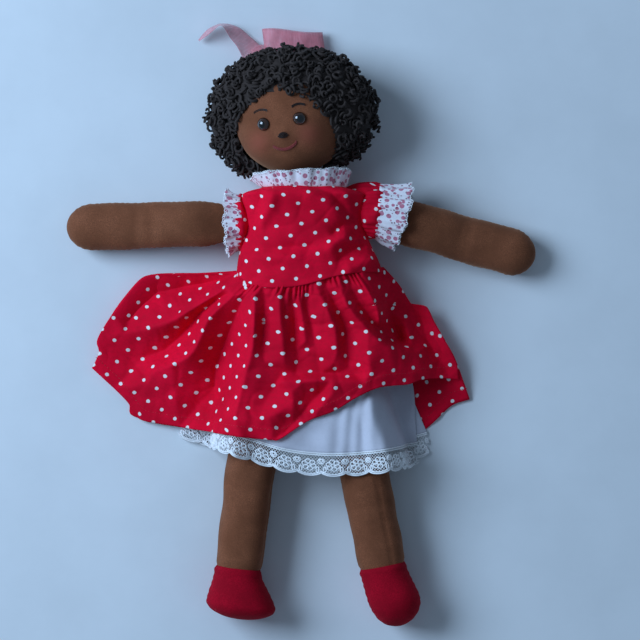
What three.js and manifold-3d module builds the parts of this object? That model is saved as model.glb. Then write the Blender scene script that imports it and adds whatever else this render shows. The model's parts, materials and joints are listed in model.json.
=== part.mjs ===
// A stuffed cloth doll in a spotted dress, on its back: each sewn piece, its filling and its fastenings.
// Millimetres. +Z points out of the doll's front, +Y to its head. The origin is on the table under its back.
// Left and right are the doll's own, so its left side is at +X.
import * as THREE from "three";
import { mergeVertices } from "three/addons/utils/BufferGeometryUtils.js";
import Module from "manifold-3d";

const wasm = await Module();
wasm.setup();

// Cloth
const GAP = 0.4; // between pieces that are sewn or laid together
const FILL_GAP = 0.6; // between a skin and its filling
const PLUSH = 1.2; // body cloth with its pile
const COTTON = 0.9; // dress cloth
const LAWN = 0.8; // petticoat cloth
const LACE = 0.7; // lace edging and printed frills
const TAB_DEPTH = 3.2; // a limb's flat, unstuffed top, which is sewn into the seam
const TAB_LENGTH = 10;
const SEAM_SLACK = 0.8; // loose stitching that lets a limb turn against the body
const OVAL_POWER = 2.3; // of a stuffed section: 2 is an ellipse, and more is squarer
const SIDES = { left: 1, right: -1 }; // of the doll, and the sign of X there

// Torso
const TORSO_WIDTH = 82;
const TORSO_DEPTH = 50;
const SHOULDER_Y = 31;
const WAIST_Y = -34;
const SEAT_Y = -80; // the bottom seam, where the legs are sewn on
const NECK_RADIUS = 12;
const NECK_RISE = 12; // from the shoulders to the top of the neck
const FILL_HOLE = 5; // radius of the opening that the filling goes in by

// Head
const HEAD_WIDTH = 80;
const HEAD_HEIGHT = 78;
const HEAD_DEPTH = 64;
const HEAD_Z = 38;
const HEAD_TILT = 8.6; // degrees towards its right shoulder
const FACE_TURN = 15; // degrees towards its right
const EYE_RADIUS = 4.6;
const EYE_RISE = 3.4;
const EYE_SPACING = 25;
const EYE_DROP = 3; // below the middle of the head
const SHANK_RADIUS = 1.6;
const WASHER_RADIUS = 6.2;
const WASHER_THICK = 1.2;

// Hair and its ribbon
const HAIR_SIDE = 20;
const HAIR_TOP = 13;
const HAIR_FRONT = 74; // height of its front above the table
const HAIR_SINK = 6; // how far its back would sink into the table, which presses it flat
const HAIR_FALL = 29; // from the middle of the head down to the ends of the hair
const FACE_WIDTH = 70;
const FACE_HEIGHT = 78;
const FACE_DROP = 20; // from the middle of the head down to the middle of the face
const CURL_RELIEF = 1.6;
const RIBBON_WIDTH = 25;
const RIBBON_THICK = 0.8;
const BOW_X = -15; // the knot, from the middle of the head
const BOW_Y = 49;
const BOW_LOOP_LENGTH = 38;
const BOW_LOOP_DEPTH = 12; // of the loop's two layers together
const BOW_TAIL_LENGTH = 38;
const KNOT_LENGTH = 12;
const KNOT_DEPTH = 8;

// Arms
const ARM_LENGTH = 123;
const ARM_SEAM = 24; // length of the seam at the shoulder
const ARM_WIDTH = 32;
const ARM_DEPTH = 29;
const HAND_WIDTH = 33;
const HAND_DEPTH = 26;
const SHOULDER_MID_Y = { left: 16, right: 8 }; // the body lies a little twisted
const SHOULDER_Z = 28;
const ARM_ROOT = 1.2; // how far the arm's flat top reaches in past the line it turns on
const ARM_DROOP = { left: 15.4, right: 1.5 }; // degrees below square to the body

// Legs and shoes
const LEG_LENGTH = 152;
const LEG_WIDTH = 36;
const ANKLE_WIDTH = 33;
const LEG_DEPTH = 37;
const ANKLE_DEPTH = 34;
const HIP_SPACING = 58;
const LEG_LIFT = 3.4; // under the legs, for the skirt and petticoat they lie on
const LEG_SPLAY = { left: 11, right: 7 }; // degrees out from straight
const SHOE_LENGTH = { left: 43, right: 35 };
const SHOE_WIDTH = { left: 38, right: 50 };
const SHOE_LEAN = { left: 4, right: 5 }; // how far the toe points to the doll's left
const SHOE_ROUND = { left: 22, right: 11 };
const SHOE_DEPTH = 42;

// Bodice
const BODICE_TOP_Y = 32;
const BODICE_EASE = 0.8; // between the body and the bodice
const SLACK_START_Y = -8;
const BODICE_SLACK = { left: 12, right: 4 }; // how far the loose bodice stands out at the waist
const WAIST_LIFT = { left: 8.5, right: 6 }; // how far the waist seam rises from its middle to the sides
const LAP = 14; // overlap of the two backs
const ARMHOLE = 15.5; // radius
const BACK_FLAT = 3; // how far the back would sink into the table, which presses it flat
const STUD_RADIUS = 3.6;
const SOCKET_THICK = 0.9;
const STUD_PLATE = 0.6;
const STUD_Y = { top: 20, middle: -3, bottom: -26 };

// Frills and sleeves
const FRILL_HEIGHT = 14;
const FRILL_FLARE = { left: 3, right: 7 };
const FRILL_WAVES = 14;
const FRILL_RIPPLE = 0.9;
const SLEEVE_LENGTH = { left: 9, right: 4 };
const SLEEVE_WIDTH = 35;
const SLEEVE_DEPTH = 36;
const SLEEVE_PUFF = 1.5;
const CUFF_LENGTH = { left: 17, right: 6 };
const CUFF_FLARE = 3;
const CUFF_WAVES = 10;
const CUFF_RIPPLE = 0.9;

// Skirt and petticoat, by the corners and bends of their outlines on the table
const SKIRT_RISE = 56; // height of its front over the lap
const SKIRT_HEM_RISE = 49;
const SKIRT_LOFT = 3; // of its slack cloth
const LAP_HALF = 34; // half the width of the lap that it lies over
const WING_START = 116; // how far from the middle it is down on the table
const SKIRT_LEFT_TIP = new THREE.Vector2(116, -115);
const SKIRT_LEFT_SIDE = [[69, -43], [83, -52], [98, -74], [107, -98]];
const SKIRT_RIGHT_TIP = new THREE.Vector2(-146, -93);
const SKIRT_RIGHT_SIDE = [[-74, -27], [-114, -30], [-131, -42], [-140, -58]];
const SKIRT_FRONT_HEM = [[-115, -128], [-20, -142], [22, -123.5], [55, -106], [88, -101]];
const SKIRT_BACK_HEM = [[-115, -128], [-20, -138], [45, -136], [88, -134]];
// Its main folds: each is high on the left hand of a line on the table, and falls away over its reach
const FOLD_STEEPNESS = 4;
const SKIRT_FOLDS = [
  { height: 7, reach: 26, line: [[-115, -124], [-107, -98], [-92, -72], [-76, -58], [-48, -37]] },
  { height: 6, reach: 18, line: [[-46, -44], [-49, -72], [-62, -97], [-63, -106], [-57, -120]] },
  { height: 5, reach: 12, line: [[-4, -90], [-5, -74], [-12, -60], [-16, -44]] },
  { height: 6, reach: 13, line: [[18, -98], [23, -86], [25, -72], [20, -48]] },
  { height: 6, reach: 15, line: [[25, -42], [48, -65], [66, -80], [82, -94]] },
  { height: 9, reach: 26, line: [[83, -48], [69, -58], [67, -72], [71, -82], [81, -94]] },
  { height: 8, reach: 15, line: [[58, -100], [38, -97], [16, -95], [-2, -99], [-16, -102], [-27, -119]] },
];
const PETTICOAT_TOP_HALF = 42.3;
const PETTICOAT_RISE = 45;
const PETTICOAT_BOW = { left: 4, right: 3 }; // how full it is beside each leg
const PETTICOAT_LEFT_TIP = new THREE.Vector2(85, -136);
const PETTICOAT_RIGHT_TIP = new THREE.Vector2(-86, -126);
const PETTICOAT_HEM = [[-45, -138], [-8, -149], [32, -151]];
const LACE_WIDTH = 16;
const LACE_SCALLOPS = 14;
const SCALLOP_DEPTH = 2;

// Fineness of the meshes
const ROUND = 16;
const FINE_ROUND = 16;
const SKIRT_COLUMNS = 20;
const SKIRT_ROWS = 12;

const radians = THREE.MathUtils.degToRad;
const lerp = THREE.MathUtils.lerp;
const ease = THREE.MathUtils.smoothstep;
const point = (x, y, z) => new THREE.Vector3(x, y, z);
const sideOf = (x) => (x > 0 ? "left" : "right");

// Solids

// A closed geometry from points and triangles, with its faces turned outwards.
function closed(points, faces) {
  const volume = faces.reduce((sum, _, i) => {
    if (i % 3) return sum;
    const [a, b, c] = [points[faces[i]], points[faces[i + 1]], points[faces[i + 2]]];
    return sum + a.dot(b.clone().cross(c));
  }, 0);
  const geometry = new THREE.BufferGeometry().setFromPoints(points);
  geometry.setIndex(volume > 0 ? faces : faces.slice().reverse());
  return geometry;
}

// A skin over a row of rings, each with the same even count of points. A loop joins the last ring to the
// first, and a row that is no loop gets a flat end across its first and last rings.
function overRings(rings, loop = false) {
  const count = rings[0].length;
  const faces = [];
  const quad = (a, b, c, d) => faces.push(a, b, c, a, c, d);
  const last = rings.length - 1;
  for (let i = 0; i < (loop ? rings.length : last); i++) {
    const [here, next] = [i * count, ((i + 1) % rings.length) * count];
    for (let j = 0; j < count; j++) {
      const k = (j + 1) % count;
      quad(here + j, next + j, next + k, here + k);
    }
  }
  for (let j = 0; !loop && j < count / 2 - 1; j++) {
    const [a, b, c, d] = [j, j + 1, count - 2 - j, count - 1 - j];
    quad(a, b, c, d);
    quad(last * count + a, last * count + d, last * count + c, last * count + b);
  }
  return closed(rings.flat(), faces);
}

// A sheet of cloth between two grids of points, its upper and its lower face.
const sheet = (upper, lower) => overRings(upper.map((row, i) => [...row, ...lower[i].slice().reverse()]));

// A manifold solid from a geometry, and back again.
function solid(geometry, matrix = new THREE.Matrix4()) {
  const bare = new THREE.BufferGeometry();
  bare.setAttribute("position", geometry.getAttribute("position").clone());
  bare.setIndex(geometry.index);
  const merged = mergeVertices(bare.applyMatrix4(matrix), 1e-4);
  const vertProperties = merged.getAttribute("position").array;
  return new wasm.Manifold(new wasm.Mesh({ numProp: 3, vertProperties, triVerts: merged.index.array }));
}

function geometryOf(manifold) {
  const { vertProperties, triVerts } = manifold.getMesh();
  const geometry = new THREE.BufferGeometry();
  geometry.setAttribute("position", new THREE.BufferAttribute(vertProperties, 3));
  return geometry.setIndex(new THREE.BufferAttribute(triVerts, 1));
}

const move = (x, y, z) => new THREE.Matrix4().makeTranslation(x, y, z);

// A solid of revolution about +Z from a profile of [radius, height] pairs.
function turned(profile, segments = ROUND) {
  const outline = profile.map(([r, h]) => new THREE.Vector2(r, h));
  return new THREE.LatheGeometry(outline, segments).rotateX(Math.PI / 2);
}

// Stuffed forms

// A value between stations [[place, value], ...], eased from each station to the next.
function along(stations, place) {
  const next = stations.findIndex(([at]) => at >= place);
  if (next <= 0) return stations[next === 0 ? 0 : stations.length - 1][1];
  const [[from, a], [to, b]] = [stations[next - 1], stations[next]];
  return lerp(a, b, ease(place, from, to));
}

// Share of the full width at a distance in from a round end.
const rounded = (distance, radius) => Math.sqrt(1 - (1 - Math.min(distance / radius, 1)) ** 2);

// Even steps from start to end, or steps that close in on a round tip.
const evenSteps = (start, end, count) =>
  Array.from({ length: count + 1 }, (_, i) => lerp(start, end, i / count));
const tipSteps = (from, tip, count) =>
  Array.from({ length: count }, (_, i) => {
    const quarterTurn = ((i + 1) / (count + 0.35)) * (Math.PI / 2);
    return lerp(from, tip, Math.sin(quarterTurn));
  });

// A sine or cosine drawn out so that a section is an oval of a given power.
const bulge = (value, power = OVAL_POWER) => Math.sign(value) * Math.abs(value) ** (2 / power);

// An oval with its middle at (mid, height), cut flat at the floor. The angle runs from +u over +Z.
function oval(halfWidth, halfDepth, mid, height, floor, count = ROUND, power = OVAL_POWER) {
  return Array.from({ length: count }, (_, j) => {
    const angle = ((j + 0.5) / count) * 2 * Math.PI;
    const u = mid + halfWidth * bulge(Math.cos(angle), power);
    return [u, Math.max(height + halfDepth * bulge(Math.sin(angle), power), floor)];
  });
}

// Rings of a stuffed piece, drawn in by a margin from its outer face. form gives halfWidth, halfDepth, mid
// and height at a place, and place3 puts a place and an oval's two coordinates in space.
function stuffedRings(places, form, margin, floor, place3, count = ROUND) {
  return places.map((place) => {
    const { halfWidth, halfDepth, mid, height } = form(place);
    const ring = oval(halfWidth - margin, halfDepth - margin, mid, height, floor + margin, count);
    return ring.map(([u, z]) => place3(place, u, z));
  });
}

// Torso

// The lapped backs and their studs lie under the torso.
const torsoBack = 2 * COTTON + SOCKET_THICK + STUD_PLATE + 5 * GAP;
const torsoMidZ = torsoBack + TORSO_DEPTH / 2 - 0.5;
const neckTop = SHOULDER_Y + NECK_RISE;
const neckPivotY = neckTop - NECK_RADIUS;
const seatZ = 27;
const shoulderDrop = 6;
const neckBase = SHOULDER_Y + 4;

const torsoHalf = TORSO_WIDTH / 2;
// The flat of its many-sided side.
const torsoSide = torsoHalf * Math.cos(Math.PI / FINE_ROUND) ** (2 / OVAL_POWER);
const torsoWidths = [
  [SEAT_Y, torsoHalf - 1],
  [SEAT_Y + 18, torsoHalf + 1],
  [WAIST_Y, torsoHalf],
  [SHOULDER_Y - shoulderDrop, torsoHalf],
  [neckBase, NECK_RADIUS],
];
const torsoDepths = [
  [SEAT_Y, TAB_DEPTH / 2],
  [WAIST_Y, TORSO_DEPTH / 2],
  [0, TORSO_DEPTH / 2],
  [SHOULDER_Y - shoulderDrop, TORSO_DEPTH / 2 - 2],
  [neckBase, NECK_RADIUS],
];
const torsoHeights = [
  [SEAT_Y, seatZ],
  [WAIST_Y, torsoMidZ],
  [0, torsoMidZ],
  [neckBase, HEAD_Z],
];

// The torso's section at a height y: the neck's round top, and the body below it.
function torsoForm(y) {
  const dome = y > neckBase ? Math.sqrt(Math.max(NECK_RADIUS ** 2 - (y - neckPivotY) ** 2, 0.01)) : Infinity;
  return {
    halfWidth: Math.min(along(torsoWidths, y), dome),
    halfDepth: Math.min(along(torsoDepths, y), dome),
    mid: 0,
    height: along(torsoHeights, y),
  };
}

const acrossBody = (y, x, z) => point(x, y, z);
const neckMouthY = neckPivotY + Math.sqrt(NECK_RADIUS ** 2 - (FILL_HOLE + PLUSH) ** 2);
const torsoPlaces = [
  neckMouthY,
  lerp(neckMouthY, neckBase, 0.5),
  ...evenSteps(neckBase, SHOULDER_Y - shoulderDrop, 5),
  ...evenSteps((SHOULDER_Y - shoulderDrop) / 2, WAIST_Y, 3),
  ...evenSteps(WAIST_Y - 14, SEAT_Y + TAB_LENGTH, 3),
];

function torsoSkin() {
  const outer = stuffedRings([...torsoPlaces, SEAT_Y], torsoForm, 0, torsoBack, acrossBody, FINE_ROUND);
  const inner = stuffedRings(torsoPlaces, torsoForm, PLUSH, torsoBack, acrossBody, FINE_ROUND);
  return overRings([...outer.reverse(), ...inner]);
}

const torsoFilling = () => {
  const places = torsoPlaces.slice(1, -1);
  return overRings(stuffedRings(places, torsoForm, PLUSH + FILL_GAP, torsoBack, acrossBody, FINE_ROUND));
};

// Head, in its own frame: the middle of the head at the origin, +Y to its crown and +Z out of its face

const headMouth = Math.asin((FILL_HOLE + PLUSH) / (HEAD_WIDTH / 2)); // angle of the neck opening's edge
const headMouthY = (HEAD_HEIGHT / 2) * Math.cos(headMouth);

function headRings(margin, count = FINE_ROUND) {
  const half = [HEAD_WIDTH, HEAD_HEIGHT, HEAD_DEPTH].map((size) => size / 2 - margin);
  const mouth = Math.asin((FILL_HOLE + PLUSH - margin) / half[0]);
  return evenSteps(mouth, Math.PI * 0.965, 8).map((angle) =>
    oval(half[0] * Math.sin(angle), half[2] * Math.sin(angle), 0, 0, -Infinity, count, 2).map(([x, z]) =>
      point(x, -half[1] * Math.cos(angle), z),
    ),
  );
}

// The turned face's middle, towards the doll's right.
const faceShift = (HEAD_DEPTH / 2) * Math.sin(radians(FACE_TURN));

// An eye's place on the head: its middle on the surface, with +Z along the surface's normal.
function eyeMatrix(side) {
  const [x, y] = [(side * EYE_SPACING) / 2 - faceShift, -EYE_DROP];
  const half = new THREE.Vector3(HEAD_WIDTH, HEAD_HEIGHT, HEAD_DEPTH).multiplyScalar(0.5);
  const z = half.z * Math.sqrt(1 - (x / half.x) ** 2 - (y / half.y) ** 2);
  const normal = point(x, y, z).divide(half).divide(half).normalize();
  const turn = new THREE.Quaternion().setFromUnitVectors(point(0, 0, 1), normal);
  return new THREE.Matrix4().compose(point(x, y, z), turn, point(1, 1, 1));
}

const eyeMatrices = Object.values(SIDES).map(eyeMatrix);
const washerDip = (1.9 * WASHER_RADIUS ** 2) / HEAD_DEPTH; // a flat washer's rim meets the curved cloth first
const washerTop = -PLUSH - washerDip - GAP;
const shankEnd = washerTop - WASHER_THICK - 1;

const eye = () =>
  turned([
    [0, shankEnd],
    [SHANK_RADIUS, shankEnd],
    [SHANK_RADIUS, GAP],
    [EYE_RADIUS, GAP],
    [EYE_RADIUS, GAP + 0.8],
    [EYE_RADIUS * 0.8, GAP + EYE_RISE * 0.7],
    [EYE_RADIUS * 0.4, GAP + EYE_RISE * 0.95],
    [0, GAP + EYE_RISE],
  ], 14);

const washerBore = SHANK_RADIUS + GAP;
const washer = () =>
  turned([
    [washerBore, washerTop - WASHER_THICK],
    [WASHER_RADIUS, washerTop - WASHER_THICK],
    [WASHER_RADIUS, washerTop],
    [washerBore, washerTop],
    [washerBore, washerTop - WASHER_THICK],
  ], 14);

const rod = (radius, from, to) => turned([[0, from], [radius, from], [radius, to], [0, to]], 12);

function headSkin() {
  const whole = solid(overRings([...headRings(0).reverse(), ...headRings(PLUSH)]));
  return geometryOf(
    eyeMatrices.reduce((head, at) => head.subtract(solid(rod(washerBore, shankEnd, EYE_RISE), at)), whole),
  );
}

function headFilling() {
  const pocket = rod(WASHER_RADIUS + GAP, shankEnd - GAP, EYE_RISE);
  const whole = solid(overRings(headRings(PLUSH + FILL_GAP).slice(1)));
  return geometryOf(eyeMatrices.reduce((filling, at) => filling.subtract(solid(pocket, at)), whole));
}

// Hair, in the head's frame: a rounded mass of curls with the face left open

const hairHalf = new THREE.Vector3(
  HEAD_WIDTH / 2 + HAIR_SIDE,
  HEAD_HEIGHT / 2 + HAIR_TOP,
  (HAIR_FRONT + HAIR_SINK) / 2,
);
const hairMidZ = (HAIR_FRONT - HAIR_SINK) / 2 - HEAD_Z;
const bowZ = BOW_LOOP_DEPTH / 2 + 1 - HEAD_Z; // the bow lies between the hair and the table

// A point on the outside of the hair: polar is measured from its crown, around from +X over its front.
function hairPoint(polar, around) {
  const curl = CURL_RELIEF * Math.sin(9 * around) * Math.sin(9 * polar) * Math.sin(polar);
  const flat = Math.sin(polar);
  const z = hairMidZ + (hairHalf.z + curl) * flat * Math.sin(around);
  const x = (hairHalf.x + curl) * flat * Math.cos(around);
  return point(x, (hairHalf.y + curl) * Math.cos(polar), Math.max(z, -HEAD_Z));
}

function hair() {
  const rings = evenSteps(0.08, Math.PI * 0.82, 12).map((polar) =>
    Array.from({ length: 26 }, (_, j) => hairPoint(polar, ((j + 0.5) / 26) * 2 * Math.PI)),
  );
  const head = new THREE.SphereGeometry(0.5, 24, 16).scale(HEAD_WIDTH, HEAD_HEIGHT, HEAD_DEPTH);
  const roomier = [HEAD_WIDTH, HEAD_HEIGHT, HEAD_DEPTH].map((size) => 1.012 + (2 * GAP) / size);
  const headRoom = head.scale(...roomier);
  const face = new THREE.CylinderGeometry(0.5, 0.5, HEAD_DEPTH, 24).rotateX(Math.PI / 2);
  face.scale(FACE_WIDTH, FACE_HEIGHT, 1);
  const below = new THREE.BoxGeometry(4 * hairHalf.x, HEAD_HEIGHT, 4 * hairHalf.z);
  const bowRoom = new THREE.BoxGeometry(4 * hairHalf.x, HEAD_HEIGHT, BOW_LOOP_DEPTH + 2 * GAP);
  const bowRoomY = BOW_Y - RIBBON_WIDTH / 2 - GAP + HEAD_HEIGHT / 2;
  return geometryOf(
    solid(overRings(rings))
      .subtract(solid(headRoom))
      .subtract(solid(face, move(-faceShift, -FACE_DROP, HEAD_DEPTH / 2 + 2)))
      .subtract(solid(bowRoom, move(0, bowRoomY, bowZ)))
      .subtract(solid(below, move(0, -HAIR_FALL - HEAD_HEIGHT / 2, 0))),
  );
}

// Ribbon: a knot behind the crown, a loop to the doll's left and a tail to its right

// A length of ribbon along points, its width along the given direction.
function ribbon(points, across) {
  const path = new THREE.CatmullRomCurve3(points);
  const steps = 10;
  return overRings(
    evenSteps(0, 1, steps).map((t) => {
      const [at, run] = [path.getPointAt(t), path.getTangentAt(t)];
      const wide = across(t).clone().addScaledVector(run, -run.dot(across(t))).normalize();
      const thick = run.clone().cross(wide).multiplyScalar(RIBBON_THICK / 2);
      const edge = wide.multiplyScalar(RIBBON_WIDTH / 2);
      return [
        at.clone().add(edge).add(thick),
        at.clone().sub(edge).add(thick),
        at.clone().sub(edge).sub(thick),
        at.clone().add(edge).sub(thick),
      ];
    }),
  );
}

function bowLoop() {
  const [near, far] = [KNOT_LENGTH / 2 + GAP, KNOT_LENGTH / 2 + GAP + BOW_LOOP_LENGTH];
  const middle = (near + far) / 2;
  const outside = (2 / 3) * BOW_LOOP_DEPTH; // how far out a bend of this depth is drawn to
  const inside = outside - 2 * RIBBON_THICK;
  const shape = new THREE.Shape();
  shape.moveTo(near, -RIBBON_THICK);
  shape.bezierCurveTo(middle, -outside, far, -outside, far, 0);
  shape.bezierCurveTo(far, outside, middle, outside, near, RIBBON_THICK);
  const [innerNear, innerFar] = [near + 4 * RIBBON_THICK, far - RIBBON_THICK];
  const hollow = new THREE.Path();
  hollow.moveTo(innerNear, 0);
  hollow.bezierCurveTo(middle, inside, innerFar, inside, innerFar, 0);
  hollow.bezierCurveTo(innerFar, -inside, middle, -inside, innerNear, 0);
  shape.holes.push(hollow);
  const options = { depth: RIBBON_WIDTH, bevelEnabled: false, curveSegments: 7 };
  return new THREE.ExtrudeGeometry(shape, options).translate(0, 0, -RIBBON_WIDTH / 2).rotateX(Math.PI / 2);
}

function bowTail() {
  const reach = KNOT_LENGTH / 2 + 2 * GAP;
  const points = [
    point(-reach, 0, 0),
    point(-reach - BOW_TAIL_LENGTH * 0.3, 1, -2),
    point(-reach - BOW_TAIL_LENGTH * 0.65, 6, 1),
    point(-reach - BOW_TAIL_LENGTH, 4, 0),
  ];
  return ribbon(points, (t) => point(0, Math.cos(t * 0.3), Math.sin(t * 0.3)));
}

const bowKnot = () => {
  const narrowed = (t) => (KNOT_DEPTH / 2) * (1 - 0.25 * t * t);
  const profile = evenSteps(-1, 1, 6).map((t) => [narrowed(t), (t * KNOT_LENGTH) / 2]);
  return turned([[0, -KNOT_LENGTH / 2], ...profile, [0, KNOT_LENGTH / 2]], 10).rotateY(Math.PI / 2);
};

// Arms, in a frame at the shoulder seam with +X along the arm and Z measured from the table

const armWidths = [[0, ARM_SEAM / 2], [30, ARM_WIDTH / 2], [64, HAND_WIDTH / 2 - 0.5], [88, HAND_WIDTH / 2]];
const armDepths = [[0, TAB_DEPTH / 2], [42, ARM_DEPTH / 2], [88, HAND_DEPTH / 2]];
const handRound = HAND_WIDTH * 0.55;

function armForm(distance) {
  const tip = rounded(ARM_LENGTH - distance, handRound);
  return {
    halfWidth: along(armWidths, distance) * tip,
    halfDepth: along(armDepths, distance) * tip,
    mid: 0,
    height: lerp(SHOULDER_Z, HAND_DEPTH / 2 - 0.5, ease(distance, 0, ARM_LENGTH * 0.8)),
  };
}

const armPlaces = (tip) => [
  -ARM_ROOT,
  TAB_LENGTH,
  ...evenSteps(2 * TAB_LENGTH, ARM_LENGTH - handRound, 4),
  ...tipSteps(ARM_LENGTH - handRound, tip, 3),
];

// The seam follows the body's side, so a drooping arm's root is cut aslant.
const alongArm = (slant) => (distance, y, z) =>
  point(distance + y * slant * (1 - ease(distance, 0, 3 * TAB_LENGTH)), y, z);

function armSkin(slant) {
  const outer = stuffedRings(armPlaces(ARM_LENGTH), armForm, 0, 0, alongArm(slant));
  const inner = stuffedRings(armPlaces(ARM_LENGTH - 2 * PLUSH), armForm, PLUSH, 0, alongArm(slant));
  return overRings([...outer.reverse(), ...inner]);
}

function armFilling(slant) {
  const places = armPlaces(ARM_LENGTH - 2 * PLUSH - FILL_GAP).slice(1);
  return overRings(stuffedRings(places, armForm, PLUSH + FILL_GAP, 0, alongArm(slant)));
}

// Legs, in a frame at the middle of the leg's round top with -Y along the leg and Z measured from the table

const legTop = LEG_WIDTH / 2;
const legDepths = [[0, TAB_DEPTH / 2], [48, LEG_DEPTH / 2], [LEG_LENGTH, ANKLE_DEPTH / 2]];
const legMouth = 0.5; // how far the open end cuts into the leg's round top

function legForm(distance) {
  const halfDepth = along(legDepths, distance);
  const widths = [[0, LEG_WIDTH / 2], [LEG_LENGTH, ANKLE_WIDTH / 2]];
  return {
    halfWidth: along(widths, distance) * rounded(distance, legTop),
    halfDepth,
    mid: 0,
    height: lerp(seatZ, LEG_LIFT + along(legDepths, distance), ease(distance, 0, 50)),
  };
}

const alongLeg = (distance, x, z) => point(x, legTop - distance, z);
const legPlaces = [legMouth, 3, 8, 14, 22, 32, 44, ...evenSteps(64, LEG_LENGTH - GAP, 3)];

function legSkin() {
  const outer = stuffedRings(legPlaces, legForm, 0, 0, alongLeg);
  const inner = stuffedRings(legPlaces, legForm, PLUSH, 0, alongLeg);
  return overRings([...outer, ...inner.reverse()], true);
}

const legFilling = () => overRings(stuffedRings(legPlaces.slice(3), legForm, PLUSH + FILL_GAP, 0, alongLeg));

// Shoes, in the leg's frame, measured from the ankle seam down to the toe

function shoeForm(side) {
  const [length, width, lean] = [SHOE_LENGTH[side], SHOE_WIDTH[side], SHOE_LEAN[side]];
  return (distance) => {
    const toe = rounded(length - distance, SHOE_ROUND[side]);
    const widen = ease(distance, 0, length - SHOE_ROUND[side] / 2);
    const halfDepth = lerp(ANKLE_DEPTH, SHOE_DEPTH, widen) / 2;
    return {
      halfWidth: (lerp(ANKLE_WIDTH, width, widen) / 2) * toe,
      halfDepth: halfDepth * toe,
      mid: lean * widen,
      height: lerp(LEG_LIFT + ANKLE_DEPTH / 2, SHOE_DEPTH / 2 - 0.5, widen),
    };
  };
}

const alongShoe = (distance, x, z) => point(x, legTop - LEG_LENGTH - distance, z);
const shoePlaces = (side, tip) => [
  ...evenSteps(GAP, SHOE_LENGTH[side] - SHOE_ROUND[side], 2),
  ...tipSteps(SHOE_LENGTH[side] - SHOE_ROUND[side], tip, 4),
];

function shoe(side) {
  const outer = stuffedRings(shoePlaces(side, SHOE_LENGTH[side]), shoeForm(side), 0, 0, alongShoe);
  const tip = SHOE_LENGTH[side] - 1.5 * PLUSH;
  const inner = stuffedRings(shoePlaces(side, tip), shoeForm(side), PLUSH, 0, alongShoe);
  return overRings([...outer.reverse(), ...inner]);
}

function shoeFilling(side) {
  const places = shoePlaces(side, SHOE_LENGTH[side] - 1.5 * PLUSH - FILL_GAP);
  return overRings(stuffedRings(places, shoeForm(side), PLUSH + FILL_GAP, 0, alongShoe));
}

// Bodice: a front and two lapped backs over the torso, open at the neck, the armholes and the waist

const lapRise = COTTON + SOCKET_THICK + STUD_PLATE + 3 * GAP; // the under back lies this far above the table
const bodicePlaces = [...evenSteps(BODICE_TOP_Y, SHOULDER_Y - shoulderDrop, 5), ...evenSteps(12, WAIST_Y, 4)];

// A point of the bodice at a height y and an angle from +X over the front, a margin outside the torso.
function bodicePoint(y, angle, margin, floor) {
  const { halfWidth, halfDepth, height } = torsoForm(y - 1.2 * margin);
  const across = bulge(Math.cos(angle));
  const side = sideOf(across);
  const loose = ease(-y, -SLACK_START_Y, -WAIST_Y) * across ** 2;
  const x = (halfWidth + margin) * across + SIDES[side] * BODICE_SLACK[side] * loose;
  const toTable = height + BACK_FLAT + margin - BODICE_EASE - COTTON;
  const depth = Math.sin(angle) > 0 ? halfDepth + margin : toTable;
  const z = Math.max(height + depth * bulge(Math.sin(angle)), floor(x));
  return point(x, y + WAIST_LIFT[side] * loose, z);
}

function bodicePanel(angles, floor) {
  const face = (margin, lift) =>
    bodicePlaces.map((y) => angles.map((angle) => bodicePoint(y, angle, margin, (x) => floor(x) + lift)));
  const whole = solid(sheet(face(BODICE_EASE + COTTON, 0), face(BODICE_EASE, COTTON)));
  const armhole = new THREE.CylinderGeometry(ARMHOLE, ARMHOLE, TORSO_WIDTH / 2, 20).rotateZ(Math.PI / 2);
  return Object.entries(SIDES).reduce((cut, [side, sign]) => {
    const place = move(sign * TORSO_WIDTH * 0.62, SHOULDER_MID_Y[side], SHOULDER_Z);
    return cut.subtract(solid(armhole, place));
  }, whole);
}

const seamAngle = 0.012; // half the gap at a side seam
const bodiceFront = () =>
  geometryOf(bodicePanel(evenSteps(seamAngle, Math.PI - seamAngle, 14), () => -Infinity));

// A back runs from its side seam past the middle by half the lap.
function bodiceBack(side) {
  const under = side > 0; // the doll's left back goes under its right back
  const floor = (x) => (under ? lapRise * (1 - ease(side * x, LAP / 2 + 2, LAP / 2 + 16)) : 0);
  const seam = side > 0 ? 2 * Math.PI - seamAngle : Math.PI + seamAngle;
  const past = 1.5 * Math.PI - side * 0.62;
  const whole = bodicePanel(evenSteps(seam, past, 15), floor);
  const beyond = new THREE.BoxGeometry(TORSO_WIDTH, 4 * TORSO_WIDTH, 2 * TORSO_DEPTH);
  return geometryOf(whole.subtract(solid(beyond, move(-side * (LAP / 2 + TORSO_WIDTH / 2), 0, 0))));
}

// A press stud between the lapped backs: the socket on the outer back, the ball on the under back.
const socketBase = COTTON + GAP;
const stud = {
  socket: () =>
    turned([
      [1.5, socketBase],
      [STUD_RADIUS, socketBase],
      [STUD_RADIUS, socketBase + SOCKET_THICK],
      [1.5, socketBase + SOCKET_THICK],
      [1.5, socketBase],
    ], 12),
  ball: () => {
    const base = socketBase + SOCKET_THICK + GAP;
    return turned([
      [0, socketBase + GAP],
      [0.9, socketBase + GAP],
      [0.9, base],
      [STUD_RADIUS, base],
      [STUD_RADIUS, base + STUD_PLATE],
      [0, base + STUD_PLATE],
    ], 12);
  },
};

// Frills

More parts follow.
